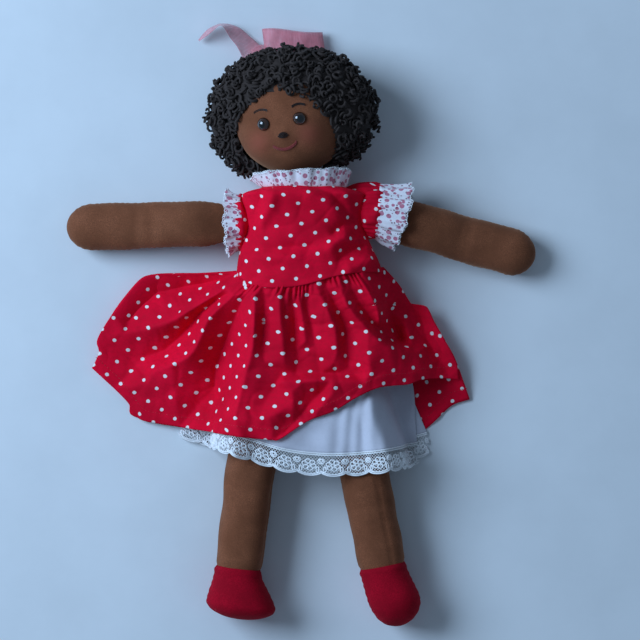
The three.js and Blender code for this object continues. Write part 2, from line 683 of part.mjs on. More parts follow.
// A rippled frill: a closed band whose section at each angle runs from an inner edge to an outer edge.
function frill(waves, edges) {
  const count = waves * 4;
  return overRings(
    Array.from({ length: count }, (_, i) => {
      const angle = (i / count) * 2 * Math.PI;
      const [inner, outer, side] = edges(angle, Math.sin(angle * waves));
      const half = side.clone().multiplyScalar(LACE / 2);
      const [upper, lower] = [inner, outer].map((edge) => [edge.clone().add(half), edge.clone().sub(half)]);
      return [upper[0], lower[0], lower[1], upper[1]];
    }),
    true,
  );
}

// The collar stands up from the neckline in front and lies back along the table behind.
function neckFrill() {
  const neckline = torsoForm(BODICE_TOP_Y - 1.2 * (BODICE_EASE + COTTON));
  const reach = BODICE_EASE + COTTON + LACE / 2 + GAP;
  return frill(FRILL_WAVES, (angle, wave) => {
    const [c, s] = [Math.cos(angle), Math.sin(angle)];
    const front = ease(s, -0.5, 0.5);
    const out = (distance) =>
      point((neckline.halfWidth + distance) * c, 0, neckline.height + (neckline.halfDepth + distance) * s);
    const inner = out(reach).setY(BODICE_TOP_Y + GAP);
    const flare = lerp(FRILL_FLARE.right, FRILL_FLARE.left, ease(c, -1, 1));
    const outer = out(reach + flare + wave * FRILL_RIPPLE).setY(
      BODICE_TOP_Y + GAP + FRILL_HEIGHT * lerp(0.45, 0.8, front),
    );
    return [inner, outer, point(c, -0.5, s).normalize()];
  });
}

// Sleeves: short puffed tubes that turn from the armhole to the arm's own direction

function sleeveRing(side, distance, halfWidth, halfDepth, count) {
  const total = SLEEVE_LENGTH[side] + CUFF_LENGTH[side];
  const droop = radians(ARM_DROOP[side]) * ease(distance, 0, total * 0.7);
  const height = lerp(SHOULDER_Z, HAND_DEPTH / 2, ease(distance, 0, ARM_LENGTH * 0.8));
  return Array.from({ length: count }, (_, j) => {
    const angle = ((j + 0.5) / count) * 2 * Math.PI;
    const y = halfWidth * Math.cos(angle);
    const z = Math.max(height + halfDepth * Math.sin(angle), 0.2);
    const start = TORSO_WIDTH / 2 + BODICE_EASE + COTTON + 2 * GAP;
    const fall = distance * Math.tan(droop / 2);
    return point(start + distance + y * Math.sin(droop), SHOULDER_MID_Y[side] - fall + y, z);
  });
}

const sleevePuff = (share) => SLEEVE_PUFF * Math.sin(share * Math.PI * 0.8);

function sleeve(side) {
  const length = SLEEVE_LENGTH[side];
  const form = (margin) => (distance) => {
    const out = sleevePuff(distance / length) - margin;
    return sleeveRing(side, distance, SLEEVE_WIDTH / 2 + out, SLEEVE_DEPTH / 2 + out, FINE_ROUND);
  };
  const places = evenSteps(0, length, 3);
  return overRings([...places.map(form(0)), ...places.slice().reverse().map(form(COTTON))], true);
}

function cuff(side) {
  const [from, to] = [SLEEVE_LENGTH[side] + GAP, SLEEVE_LENGTH[side] + CUFF_LENGTH[side]];
  const count = CUFF_WAVES * 4;
  const ring = (distance, margin) => {
    const open = ease(distance, from, to);
    const out = sleevePuff(1) - margin;
    const halfWidth = SLEEVE_WIDTH / 2 + out + CUFF_FLARE * open;
    const halfDepth = SLEEVE_DEPTH / 2 + out + CUFF_FLARE * open * 0.6;
    return sleeveRing(side, distance, halfWidth, halfDepth, count).map((at, j) => {
      const ripple = CUFF_RIPPLE * open * Math.sin((j / count) * CUFF_WAVES * 2 * Math.PI);
      return at.setX(at.x + ripple);
    });
  };
  const outside = [ring(from, 0), ring(to, 0)];
  const inside = [ring(to, LACE), ring(from, LACE)];
  return overRings([...outside, ...inside], true);
}

// Skirt and petticoat: each a front that arches over the legs and a back that lies on the table

const flat = (x, y) => new THREE.Vector2(x, y);

// A patch between four edges: top and hem run from the doll's right to its left, the sides from top to hem.
function patch(top, hem, right, left) {
  return (s, r) => {
    const [a, b, c, d] = [top(s), hem(s), right(r), left(r)];
    const corners = [top(0), top(1), hem(0), hem(1)];
    const mix = (key) =>
      lerp(a[key], b[key], r) + lerp(c[key], d[key], s) -
      lerp(lerp(corners[0][key], corners[1][key], s), lerp(corners[2][key], corners[3][key], s), r);
    return flat(mix("x"), mix("y"));
  };
}

// Height of an arch over the body: share is -1 at one side seam and 1 at the other.
const arch = (share, power) => (1 - Math.abs(share) ** power) ** (1 / power);

// A panel of cloth on a patch, from its lower face's height at (s, r).
function panel(plan, lowerZ, thick, columns, rows) {
  const grid = (lift) =>
    evenSteps(0, 1, rows).map((r) =>
      evenSteps(0, 1, columns).map((s) => {
        const { x, y } = plan(s, r);
        return point(x, y, lowerZ(s, r) + lift);
      }),
    );
  return sheet(grid(thick), grid(0));
}

const curveThrough = (points) => {
  const curve = new THREE.SplineCurve(points);
  return (t) => curve.getPoint(t);
};
const flatPoints = (list) => list.map(([x, y]) => flat(x, y));
const sideZ = torsoMidZ; // the side seams leave the waist at half the body's depth

// The skirt's waistline, from the doll's right to its left, and how far across it is, from -1 to 1.
const waistHalf = (side) => TORSO_WIDTH / 2 + BODICE_EASE + COTTON + BODICE_SLACK[side] + GAP;
const waistX = (s) => lerp(-waistHalf("right"), waistHalf("left"), s);
const waistAcross = (s) => waistX(s) / waistHalf(sideOf(waistX(s)));
const waistPoint = (s) => {
  const lift = WAIST_LIFT[sideOf(waistX(s))] * waistAcross(s) ** 2;
  return flat(waistX(s), WAIST_Y - GAP + lift);
};

function skirtPlan(hem) {
  const [right, left] = [waistPoint(0), waistPoint(1)];
  return patch(
    waistPoint,
    curveThrough([SKIRT_RIGHT_TIP, ...flatPoints(hem), SKIRT_LEFT_TIP]),
    curveThrough([right, ...flatPoints(SKIRT_RIGHT_SIDE), SKIRT_RIGHT_TIP]),
    curveThrough([left, ...flatPoints(SKIRT_LEFT_SIDE), SKIRT_LEFT_TIP]),
  );
}

// The side seams drop from the waist to the table in the first part of the skirt.
const seamDrop = (r) => 1 - ease(r, 0, 0.55);

// Distance from a line, above 0 on its left hand, and the share of the line that the nearest place is at.
function fromLine(at, line) {
  let nearest = { distance: Infinity, place: 0 };
  line.slice(1).forEach((end, k) => {
    const way = end.clone().sub(line[k]);
    const off = at.clone().sub(line[k]);
    const share = THREE.MathUtils.clamp(off.dot(way) / way.lengthSq(), 0, 1);
    const side = Math.sign(way.cross(off));
    const distance = off.addScaledVector(way, -share).length();
    if (distance < Math.abs(nearest.distance)) {
      nearest = { distance: side * distance, place: (k + share) / (line.length - 1) };
    }
  });
  return nearest;
}

function foldHeight(at) {
  return SKIRT_FOLDS.reduce((sum, { line, height, reach }) => {
    const { distance, place } = fromLine(at, flatPoints(line));
    const step = 0.5 + 0.5 * Math.tanh(distance / FOLD_STEEPNESS);
    const fall = Math.exp(-Math.max(distance, 0) / reach);
    return sum + height * step * fall * ease(place, 0, 0.2) * ease(1 - place, 0, 0.2);
  }, 0);
}

// The front is round over the body at the waist, and spreads in low wings beside the legs.
function skirtFront() {
  const seam = COTTON + GAP;
  const plan = skirtPlan(SKIRT_FRONT_HEM);
  const waistTop = torsoMidZ + TORSO_DEPTH / 2 + LAWN + 3 * GAP;
  const lowerZ = (s, r) => {
    const share = Math.abs(2 * s - 1);
    const at = plan(s, r);
    const foot = seam + (sideZ - seam) * seamDrop(r);
    const crown = lerp(lerp(waistTop, SKIRT_RISE, ease(r, 0, 0.4)), SKIRT_HEM_RISE, ease(r, 0.5, 1));
    const over = (1 - ease(Math.abs(at.x), LAP_HALF, WING_START)) * (1 - share ** 6) ** 0.6;
    const round = lerp(arch(waistAcross(s), OVAL_POWER), over, ease(r, 0.03, 0.42));
    const folds = foldHeight(at) + SKIRT_LOFT * ease(r, 0.2, 0.5);
    return foot + (crown - foot) * round + folds * (1 - share ** 10);
  };
  return panel(plan, lowerZ, COTTON, 2 * SKIRT_COLUMNS, SKIRT_ROWS);
}

function skirtBack() {
  const lowerZ = (s, r) => {
    const share = 2 * s - 1;
    return (sideZ - COTTON - GAP) * seamDrop(r) * (1 - arch(share, 5));
  };
  return panel(skirtPlan(SKIRT_BACK_HEM), lowerZ, COTTON, SKIRT_COLUMNS, SKIRT_ROWS);
}

function petticoatPlan() {
  const topY = WAIST_Y - 2 * GAP - COTTON;
  const [right, left] = [flat(-PETTICOAT_TOP_HALF, topY), flat(PETTICOAT_TOP_HALF, topY)];
  return patch(
    (s) => flat(lerp(right.x, left.x, s), topY),
    curveThrough([PETTICOAT_RIGHT_TIP, ...flatPoints(PETTICOAT_HEM), PETTICOAT_LEFT_TIP]),
    (r) => right.clone().lerp(PETTICOAT_RIGHT_TIP, r),
    (r) => left.clone().lerp(PETTICOAT_LEFT_TIP, r),
  );
}

const petticoatBase = COTTON + GAP; // it lies on the back of the skirt

function petticoatFrontZ(s, r) {
  const share = 2 * s - 1;
  const foot = petticoatBase + LAWN + GAP + (sideZ - petticoatBase - LAWN - GAP) * seamDrop(r);
  const crown = lerp(torsoMidZ + TORSO_DEPTH / 2 + GAP, PETTICOAT_RISE, ease(r, 0, 0.5));
  const over = (1 - Math.abs(share) ** PETTICOAT_BOW[sideOf(share)]) ** 0.8;
  return foot + (crown - foot) * lerp(arch(share, 2.6), over, ease(r, 0.05, 0.5));
}

function petticoatBackZ(s, r) {
  const share = 2 * s - 1;
  return petticoatBase + (sideZ - petticoatBase - LAWN - GAP) * seamDrop(r) * (1 - arch(share, 5));
}

const petticoatFront = () => panel(petticoatPlan(), petticoatFrontZ, LAWN, 20, 6);
const petticoatBack = () => panel(petticoatPlan(), petticoatBackZ, LAWN, 20, 6);

// A lace edging below the petticoat's hem, with a scalloped lower edge.
function petticoatLace(height) {
  const plan = petticoatPlan();
  const lacePlan = (s, r) => {
    const scallop = SCALLOP_DEPTH * Math.abs(Math.sin(Math.PI * LACE_SCALLOPS * s));
    const at = plan(s, 1);
    return flat(at.x * (1 + 0.02 * r), at.y - GAP - (LACE_WIDTH - SCALLOP_DEPTH + scallop) * r);
  };
  return panel(lacePlan, (s) => height(s, 1), LACE, LACE_SCALLOPS * 3, 1);
}

// Materials

const cloth = (color, roughness = 0.9) => new THREE.MeshStandardMaterial({ color, roughness, metalness: 0 });
const brownPlush = cloth(0x6b4430, 0.95);
const filling = cloth(0xf1ede4, 1);
const darkYarn = cloth(0x1d1512, 0.95);
const redSpotted = cloth(0xc4142c);
const redFelt = cloth(0xa30f26, 0.95);
const whiteLawn = cloth(0xf2eff0);
const whiteLace = cloth(0xfaf8f6);
const printedFrill = cloth(0xece2e4);
const pinkRibbon = cloth(0xe8909c, 0.5);
const eyePlastic = new THREE.MeshStandardMaterial({ color: 0x1a0d07, roughness: 0.08, metalness: 0 });
const washerPlastic = new THREE.MeshStandardMaterial({ color: 0xe9e6dd, roughness: 0.4, metalness: 0 });
const studSteel = new THREE.MeshStandardMaterial({ color: 0xb9bcc0, roughness: 0.3, metalness: 1 });

// Assembly

const doll = new THREE.Group();

function add(parent, name, geometry, material) {
  const mesh = new THREE.Mesh(geometry, material);
  mesh.name = name;
  parent.add(mesh);
  return mesh;
}

function group(parent, x, y, z, turn = 0) {
  const made = new THREE.Group();
  made.position.set(x, y, z);
  made.rotation.z = turn;
  parent.add(made);
  return made;
}

add(doll, "torso_skin", torsoSkin(), brownPlush);
add(doll, "torso_filling", torsoFilling(), filling);
add(doll, "bodice_front", bodiceFront(), redSpotted);
add(doll, "bodice_back_left", bodiceBack(1), redSpotted);
add(doll, "bodice_back_right", bodiceBack(-1), redSpotted);
add(doll, "neck_frill", neckFrill(), printedFrill);
for (const [row, y] of Object.entries(STUD_Y)) {
  const place = group(doll, 0, y, 0);
  for (const [half, make] of Object.entries(stud)) add(place, `press_stud_${row}_${half}`, make(), studSteel);
}

add(doll, "skirt_front", skirtFront(), redSpotted);
add(doll, "skirt_back", skirtBack(), redSpotted);
add(doll, "petticoat_front", petticoatFront(), whiteLawn);
add(doll, "petticoat_back", petticoatBack(), whiteLawn);
add(doll, "petticoat_lace_front", petticoatLace(petticoatFrontZ), whiteLace);
add(doll, "petticoat_lace_back", petticoatLace(petticoatBackZ), whiteLace);

const neck = group(doll, 0, neckPivotY, HEAD_Z, radians(HEAD_TILT));
const head = group(neck, 0, neckMouthY - neckPivotY + 2 * GAP + headMouthY, 0);
add(head, "head_skin", headSkin(), brownPlush);
add(head, "head_filling", headFilling(), filling);
add(head, "hair", hair(), darkYarn);
Object.keys(SIDES).forEach((side, i) => {
  const socket = new THREE.Group();
  socket.applyMatrix4(eyeMatrices[i]);
  head.add(socket);
  add(socket, `eye_${side}`, eye(), eyePlastic);
  add(socket, `eye_washer_${side}`, washer(), washerPlastic);
});
const bow = group(head, BOW_X, BOW_Y, bowZ);
add(bow, "ribbon_knot", bowKnot(), pinkRibbon);
add(bow, "ribbon_loop", bowLoop(), pinkRibbon);
add(bow, "ribbon_tail", bowTail(), pinkRibbon);

for (const [side, sign] of Object.entries(SIDES)) {
  const droop = radians(ARM_DROOP[side]);
  const shoulderX = sign * (torsoSide + SEAM_SLACK + ARM_ROOT);
  const arm = group(doll, shoulderX, SHOULDER_MID_Y[side], 0, sign > 0 ? -droop : Math.PI + droop);
  const slant = -sign * Math.tan(droop);
  add(arm, `arm_${side}_skin`, armSkin(slant), brownPlush);
  add(arm, `arm_${side}_filling`, armFilling(slant), filling);
  const mirror = sign > 0 ? (g) => g : (g) => closed(...mirrored(g));
  add(doll, `sleeve_${side}`, mirror(sleeve(side)), redSpotted);
  add(doll, `sleeve_frill_${side}`, mirror(cuff(side)), printedFrill);

  const hipX = sign * (HIP_SPACING / 2);
  const leg = group(doll, hipX, SEAT_Y - SEAM_SLACK - legTop, 0, sign * radians(LEG_SPLAY[side]));
  add(leg, `leg_${side}_skin`, legSkin(), brownPlush);
  add(leg, `leg_${side}_filling`, legFilling(), filling);
  add(leg, `shoe_${side}`, shoe(side), redFelt);
  add(leg, `shoe_${side}_filling`, shoeFilling(side), filling);
}

// A geometry's points and faces, mirrored to the doll's other side.
function mirrored(geometry) {
  const position = geometry.getAttribute("position");
  const points = Array.from({ length: position.count }, (_, i) =>
    point(-position.getX(i), position.getY(i), position.getZ(i)),
  );
  return [points, Array.from(geometry.index.array)];
}

export default doll;
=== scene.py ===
"""A stuffed cloth doll in a spotted dress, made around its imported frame.

Forms are worked out in millimetres and turn into metres when their mesh is made. +Z points out of the doll's
front and +Y towards its head. Left and right are the doll's own, so its left side is at +X.
"""

import json
import math

import bmesh
import bpy
import numpy as np
from mathutils import Matrix, Vector
from mathutils.bvhtree import BVHTree
from mathutils.geometry import delaunay_2d_cdt


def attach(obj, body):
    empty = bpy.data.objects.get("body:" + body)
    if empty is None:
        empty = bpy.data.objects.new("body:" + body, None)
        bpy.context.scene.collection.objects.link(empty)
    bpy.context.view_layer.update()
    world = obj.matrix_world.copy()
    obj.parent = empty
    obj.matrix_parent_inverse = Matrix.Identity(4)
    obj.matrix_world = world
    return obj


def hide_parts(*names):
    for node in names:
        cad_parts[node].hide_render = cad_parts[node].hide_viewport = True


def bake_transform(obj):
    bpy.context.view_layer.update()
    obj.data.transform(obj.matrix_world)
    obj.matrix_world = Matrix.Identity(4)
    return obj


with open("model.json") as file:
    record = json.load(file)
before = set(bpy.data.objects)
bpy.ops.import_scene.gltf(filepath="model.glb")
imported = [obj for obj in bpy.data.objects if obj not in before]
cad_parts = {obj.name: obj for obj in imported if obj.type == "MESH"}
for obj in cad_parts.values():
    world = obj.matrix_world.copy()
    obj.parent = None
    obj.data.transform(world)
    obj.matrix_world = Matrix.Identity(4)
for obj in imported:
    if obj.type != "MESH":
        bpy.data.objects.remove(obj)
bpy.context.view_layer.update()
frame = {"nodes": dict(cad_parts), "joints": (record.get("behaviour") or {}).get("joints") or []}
JOINTS = {joint["name"]: np.array(joint["pos_m"]) for joint in frame["joints"]}

bl_info = {
    "name": "Cloth doll in a spotted dress",
    "version": (1, 0, 0),
    "blender": (4, 5, 0),
    "location": "View3D > Sidebar > Cloth doll",
    "description": "Makes a stuffed cloth doll, its dress and its stage around the packed frame",
    "category": "Object",
}

MM = 0.001
SIDES = {"left": 1, "right": -1}
TURN = 2 * math.pi
# Starting points of each piece's own random unevenness
SEEDS = {
    "torso": 3, "arm": 11, "leg": 21, "shoe": 31, "head": 5, "hair": 8, "curls": 4, "ribbon": 41,
    "bodice": 51, "bodice creases": 52, "skirt": 61, "skirt creases": 62, "fine creases": 63,
    "skirt corner": 64, "petticoat": 71,
}

# Stuffing and seams
BODY_POINTS = 64  # around a ring of the torso or a shoe
LIMB_POINTS = 56
LUMP_WAVE = 26
PUCKER_PITCH = 4.6
SEAM_GROOVE = (0.7, 1.1)  # depth and width
SEAM_PUCKER = (0.45, 5.5)
SIDE_SEAMS = (0, math.pi)  # angles around a section

# Body, as the frame has it
OVAL_POWER = 2.3  # of a stuffed section: 2 is an ellipse, and more is squarer
NECK = JOINTS["neck_tilt"] / MM
NECK_RADIUS = 12
NECK_BASE = 35
SEAT_Y = -80
WAIST_Y = -34
SEAT_Z = 27
BODY_Z = 29.8
TORSO_HALF_WIDTH = 41
TORSO_HALF_DEPTH = 25
TORSO_FLOOR = 5.3
SHOULDER_LINE = 25
TORSO_WIDTHS = [(SEAT_Y, 40), (-62, 42), (WAIST_Y, 41), (SHOULDER_LINE, 41), (NECK_BASE, NECK_RADIUS)]
TORSO_DEPTHS = [(SEAT_Y, 1.6), (WAIST_Y, 25), (0, 25), (SHOULDER_LINE, 23), (NECK_BASE, NECK_RADIUS)]
TORSO_HEIGHTS = [(SEAT_Y, SEAT_Z), (WAIST_Y, BODY_Z), (0, BODY_Z), (NECK_BASE, NECK[2])]
# Stretches of the torso from the top down, each with its count of rings
TORSO_RINGS = [(41.2, NECK_BASE, 6), (34, SHOULDER_LINE, 12), (23, SEAT_Y, 46)]

# Head
HEAD_HALF = np.array([40.0, 39.0, 32.0])
HEAD_RISE = 49.6  # from the neck's pivot to the middle of the head
HEAD_TILT = math.radians(8.6)
FACE_SHIFT = -8.28  # the turned face's middle, towards the doll's right
EYE_SPACING = 25
EYE_HEIGHT = -3
EYE_RADIUS = 4.6
EYE_POINTS = 36  # around an eye
# Distances from an eye's axis and heights over the face, from near the top of the dome to its back
EYE_PROFILE = np.array([
    (0.9, 3.72), (1.8, 3.45), (2.7, 3.0), (3.5, 2.3), (4.1, 1.5), (4.45, 0.8), (EYE_RADIUS, 0.2),
    (4.55, -0.6), (4.2, -1.0),
])
NOSE_DROP = 9  # below the eyes, as the mouth's, the chin's and the blush's are
NOSE_HALF = (3.2, 1.9)
NOSE_STITCHES = 9
BROW_RISE = 9.6
BROW_HALF = 4.6
MOUTH_DROP = 18.6
MOUTH_HALF = 8
MOUTH_STITCHES = 15
CHIN_DROP = 26
CHEEK_OUT = 17
BLUSH_DROP = 11
# Swells and hollows on both sides of the face: how far out and below the eyes, their reach and their rise
FACE_SIDES = [(CHEEK_OUT, 12, 9, 1.0), (EYE_SPACING / 2, 0, 6.5, -0.9), (9, 15.5, 2.6, -0.5)]
HAIR_HALF = np.array([61.0, 49.0, 38.0])
HAIR_MID = np.array([-2.5, 0, -4])
HAIR_END = -36  # how far down the hair falls from the middle of the head
CURL_ROOM = 3  # from the hair's base to its outside
CURL_FLOOR = 5  # height over the table from which curls grow
CURL_LOW = 0.4  # the lowest that a curl hangs
FACE_HALF = np.array([35.0, 39.0])
FACE_DROP = -20
BOW = np.array([-15.0, 49.0, -31.0])
LOOP_LEAN = 0.2  # how much the ribbon's loop falls towards the doll's left
LOOP_MID = 25
LOOP_HALF = (19, 5.6)
RIBBON_WIDTH = 25.0
RIBBON_STEPS = 73
# Way of the ribbon's tail from the knot, and its twist in degrees and its width along it
TAIL_WAY = [(-4, -5, 1), (-8, 5, 0), (-16, 17, 2), (-24, 24, 4), (-32, 22, 2), (-42, 16, -3)]
TAIL_TWISTS = [(0, 5), (0.35, 42), (0.62, 80), (1, 62)]
TAIL_WIDTHS = [(0, 17), (0.5, 14), (0.8, 12), (1, 3)]
KNOT_HALF = 6
KNOT_RADIUS = 4

# Limbs
ARM_LENGTH = 123
ARM_DROOP = {"left": 15.4, "right": 1.5}
ARM_WIDTHS = [(0, 12), (30, 16), (64, 16), (88, 16.5)]
ARM_DEPTHS = [(0, 1.6), (42, 14.5), (88, 13)]
HAND_ROUND = 18.15
ARM_ROOT = -1.2
ARM_FALL = ARM_LENGTH * 0.8  # where an arm has come down to the table
HAND_Z = 12.5
WRIST = 66
SHOULDER_Y = {side: JOINTS[f"shoulder_{side}_swing"][1] / MM for side in SIDES}
SHOULDER_Z = 28
LEG_LENGTH = 152
LEG_SPLAY = {"left": 11, "right": 7}
LEG_TOP = 18
LEG_LIFT = 3.4
LEG_WIDTHS = [(0, 18), (LEG_LENGTH, 16.5)]
LEG_DEPTHS = [(0, 1.6), (48, 18.5), (LEG_LENGTH, 17)]
LEG_SEAMS = {"left": (0.38 * math.pi, 1.5 * math.pi), "right": (0.25, 1.4 * math.pi)}
LEG_CREASES = (96, 109, 121)  # distances down a leg
LEG_TUCK = 1.5  # of a leg's cloth into the shoe
SHOE_LENGTH = {"left": 43, "right": 35}
SHOE_WIDTH = {"left": 38, "right": 50}
SHOE_LEAN = {"left": 4, "right": 5}
SHOE_ROUND = {"left": 22, "right": 11}
SHOE_DEPTH = 42
ANKLE_WIDTH = 33
ANKLE_DEPTH = 34

# Dress
THICKNESS = {"bodice": 0.55, "skirt": 0.5, "sleeve": 0.5, "frill": 0.4, "petticoat": 0.4, "ribbon": 0.25}
GAP = {"bodice": 0.5, "skirt": 0.7, "petticoat": 0.6}  # least height over what a sheet is laid on
BODICE_TOP = 32.4
BODICE_EASE = 0.8
BODICE_CLOTH = 0.9
BODICE_MARGIN = BODICE_EASE + BODICE_CLOTH / 2
BODICE_ROWS = 84
BODICE_FULLNESS = 3  # how far the slack front stands out
BODICE_FOLD_DEPTH = 1.2
SEAM_TURN = 0.004  # angle that each panel leaves open at a side seam
SEAM_LAP = 0.8
SHOULDER_SLOPE = 1.2  # how far down the shoulders go for each step out
BACK_FLAT = 3
LAP = 14
LAP_RISE = 3.6
ARMHOLE = 15.5
ARMHOLE_INNER = 25  # an armhole cuts only the cloth further from the middle than this
ARMHOLE_SIDE = (27, 36)  # distances from the middle over which the folds fade beside an armhole
ARMHOLE_FADE = 9
SLEEVE_ROUND = ARMHOLE - 0.5
SLEEVE_POINTS = 240
SLEEVE_ROOT = -1.5  # its start inside the armhole
SLEEVE_START = 43.2
SLEEVE_LENGTH = {"left": 9, "right": 4}
CUFF_LENGTH = {"left": 17, "right": 6}
SLEEVE_HALF_WIDTH = 17.5
SLEEVE_HALF_DEPTH = 18
CUFF_FLARE = 3
CUFF_LEAN = 0.26  # share of its length by which a cuff comes further over and under the arm than beside it
PICOT_PITCH = 1.9
PICOT_RADIUS = 0.85
NECK_GATHERS = 14
NECK_BEND = [(0, 0.033, 0.038), (0, 0.05, 0.038)]  # two points along the neck, from the torso up to the head
FRILL_HEIGHT = 14
FRILL_FLARE = {"left": 3, "right": 7}
FRILL_TILT = 0.05  # how much the collar's edge rises towards the doll's left
# Edges of the skirt below the waist, as points on the table and their heights over it
SKIRT_RIGHT_SIDE = [
    (-74, -27, 20), (-96, -27, 13), (-107, -28, 11), (-114, -31, 11), (-123, -41, 12), (-134, -56, 13),
    (-144, -73, 11), (-143, -82, 9), (-148, -93, 7),
]
SKIRT_LEFT_SIDE = [(66, -35, 21), (77, -51, 12), (85, -50, 14), (91, -61, 15), (99, -75, 15), (106, -88, 12)]
SKIRT_FRONT_TIP = (108, -101, 9)  # at the left end of the front hem
SKIRT_BACK_TIP = (116, -115, 2)
SKIRT_FRONT_HEM = [
    (-135, -105, 6), (-124, -116, 4), (-118, -125, 3), (-112, -130, 3), (-88, -134, 7), (-66, -137, 19),
    (-50, -139, 38), (-43, -140, 43), (-22, -142, 46), (-16, -141, 46), (3, -129, 43), (21, -122, 45),
    (36, -113, 46), (52, -106, 43), (72, -104, 33), (81, -101, 26), (95, -100, 15),
]
SKIRT_BACK_HEM = [
    (-124, -116, 1), (-112, -129, 1), (-20, -138, 1), (60, -137, 1), (79, -137, 1), (85, -136, 1),
    (95, -127, 2), (104, -119, 2),
]
SKIRT_FRONT_GRID = (289, 129)  # columns and rows
SKIRT_BACK_GRID = (161, 57)
GATHER_FAN = 55  # over which the gathers spread to twice their width
BODICE_SLACK = {1: 12, -1: 4}  # how far the loose bodice stands out at the waist, by the sign of X
PETTICOAT_TOP = (42.3, -35.7)
PETTICOAT_RIGHT_SIDE = [(-86, -126)]
PETTICOAT_LEFT_SIDE = {"front": [(66, -72), (76, -104), (78, -130), (79, -145)], "back": [(86, -138)]}
PETTICOAT_HEM = [(-45, -138), (-8, -149), (32, -151)]
PETTICOAT_RISE = 41.5
PETTICOAT_GRID = (169, 73)
# Each panel's flat size in metres, how it is held and what it lies on
PETTICOAT_SHEETS = {
    "front": ((0.2, 0.115), "gathered", ["leg_left_cloth", "leg_right_cloth"]),
    "back": ((0.17, 0.115), "laid", ["skirt_back_cloth"]),
}
# A leg's outer edge at the seat and how far out it runs for each step down, by the sign of X
LEG_EDGE = {1: (47, 0.194), -1: (47, 0.123)}
LACE_WIDTH = 16
LACE_REPEATS = 14
LACE_STEP = 2
LACE_RIPPLE = {"front": 0.7, "back": 0.2}
MOTIF_WIDTH = 13.2
FLOWER_DEPTH = 8.3
PETALS = 6
NET_STEP = 2.1
HEM_DEPTH = 8
STITCH_LIFT = 0.25
LAY_REACH = 4  # grid cells over which a sheet comes down from what lifts it
UV_STEP = 4  # grid cells between the points whose flat places are worked out
UV_ROUNDS = 600
UV_REST = 4  # rounds between smoothings
UV_GAIN = 0.11
WAIST_TUCK = 2.5  # of the skirt's top under the bodice
SKIRT_BEND = [(0, -0.048, 0.03), (0, -0.1, 0.03)]  # two points down the middle, from below the waist to the legs

# Fold lines of the skirt's front, from the doll's right to its left: points on the table and their heights
SKIRT_FOLD_LINES = [
    [(-55, -31, 25), (-70, -34, 13), (-87, -37, 6), (-109, -42, 4), (-121, -50, 4)],
    [(-54, -37.5, 40), (-64, -44, 35), (-74, -50, 31), (-87, -58, 26), (-96, -62, 22), (-107, -65, 17),
     (-120, -68, 13), (-133, -71, 12)],
    [(-54, -41.5, 37), (-62, -47, 28), (-70, -53, 21), (-76, -60, 15), (-87, -72, 8), (-97, -81, 6),
     (-112, -86, 5)],
    [(-49, -43, 45), (-60, -53, 41), (-67, -60, 38), (-71, -70, 35), (-75, -79, 32), (-80, -85, 29),
     (-92, -91, 23), (-102, -94, 19), (-107, -99, 16), (-111, -107, 12), (-114, -115, 8), (-115, -124, 4)],
    [(-40, -41, 47), (-45, -52, 37), (-51, -66, 25), (-56, -79, 16), (-61, -94, 11), (-62, -106, 9),
     (-58, -120, 12)],
    [(-34, -42, 57), (-34, -60, 56), (-35, -79, 53), (-40, -96, 50), (-44, -112, 47), (-47, -126, 44)],
    [(-27, -41, 53), (-27, -58, 47), (-28, -75, 45), (-27, -88, 47)],
    [(-17, -42, 58), (-16, -60, 56), (-14, -78, 53), (-13, -90, 49)],
    [(-8, -40, 53), (-6, -58, 47), (-5, -75, 44), (-4, -88, 44)],
    [(-3, -45, 57), (-1, -60, 54), (1, -74, 52)],
    [(1, -38, 55), (3, -53, 51), (6, -66, 49), (8, -78, 48)],
    [(9, -38, 58), (14, -48, 58), (18, -57, 57), (22, -66, 55), (23, -82, 52), (19, -91, 49)],
    [(16, -38, 55), (23, -51, 49), (28, -62, 45), (30, -75, 44), (31, -92, 43)],
    [(24, -36, 58), (30, -50, 57), (36, -58, 55), (44, -66, 53), (51, -73, 50), (59, -78, 46),
     (67, -80, 39), (77, -83, 29)],
    [(33, -38, 52), (40, -50, 46), (47, -60, 40), (55, -68, 34), (64, -74, 25)],
    [(40, -32, 54), (45, -41, 53), (51, -52, 49), (52, -60, 45)],
    [(57, -46, 32), (60, -58, 23), (63, -66, 17), (68, -73, 14)],
    [(70, -59, 21), (72, -68, 22), (75, -76, 22)],
    [(82, -58, 12), (84, -68, 13), (89, -80, 12), (97, -91, 11)],
    [(44, -82, 50), (46, -96, 47)],
    [(62, -92, 40), (73, -91, 32), (82, -93, 26)],
    [(-14, -97, 44), (7, -96, 43), (20, -96, 43), (35, -97, 43)],
    [(-15, -102, 51), (7, -101, 52), (19, -101, 51), (33, -102, 49), (45, -103, 46)],
    [(-19, -104, 44), (-23, -110, 43), (-28, -118, 44)],
    [(-8, -109, 51), (-7, -120, 49)],
    [(13, -108, 43), (4, -117, 41), (-5, -128, 41), (-12, -136, 42)],
    [(-20, -124, 49), (-30, -128, 48)],
    [(19, -110, 50), (10, -121, 48)],
]
# Waistline of the dress, which lies slack and askew on the body, from the doll's right to its left
WAISTLINE = [(-47, -28), (-30, -36), (-4, -35.5), (23, -28.5), (40, -26), (55, -25.5)]
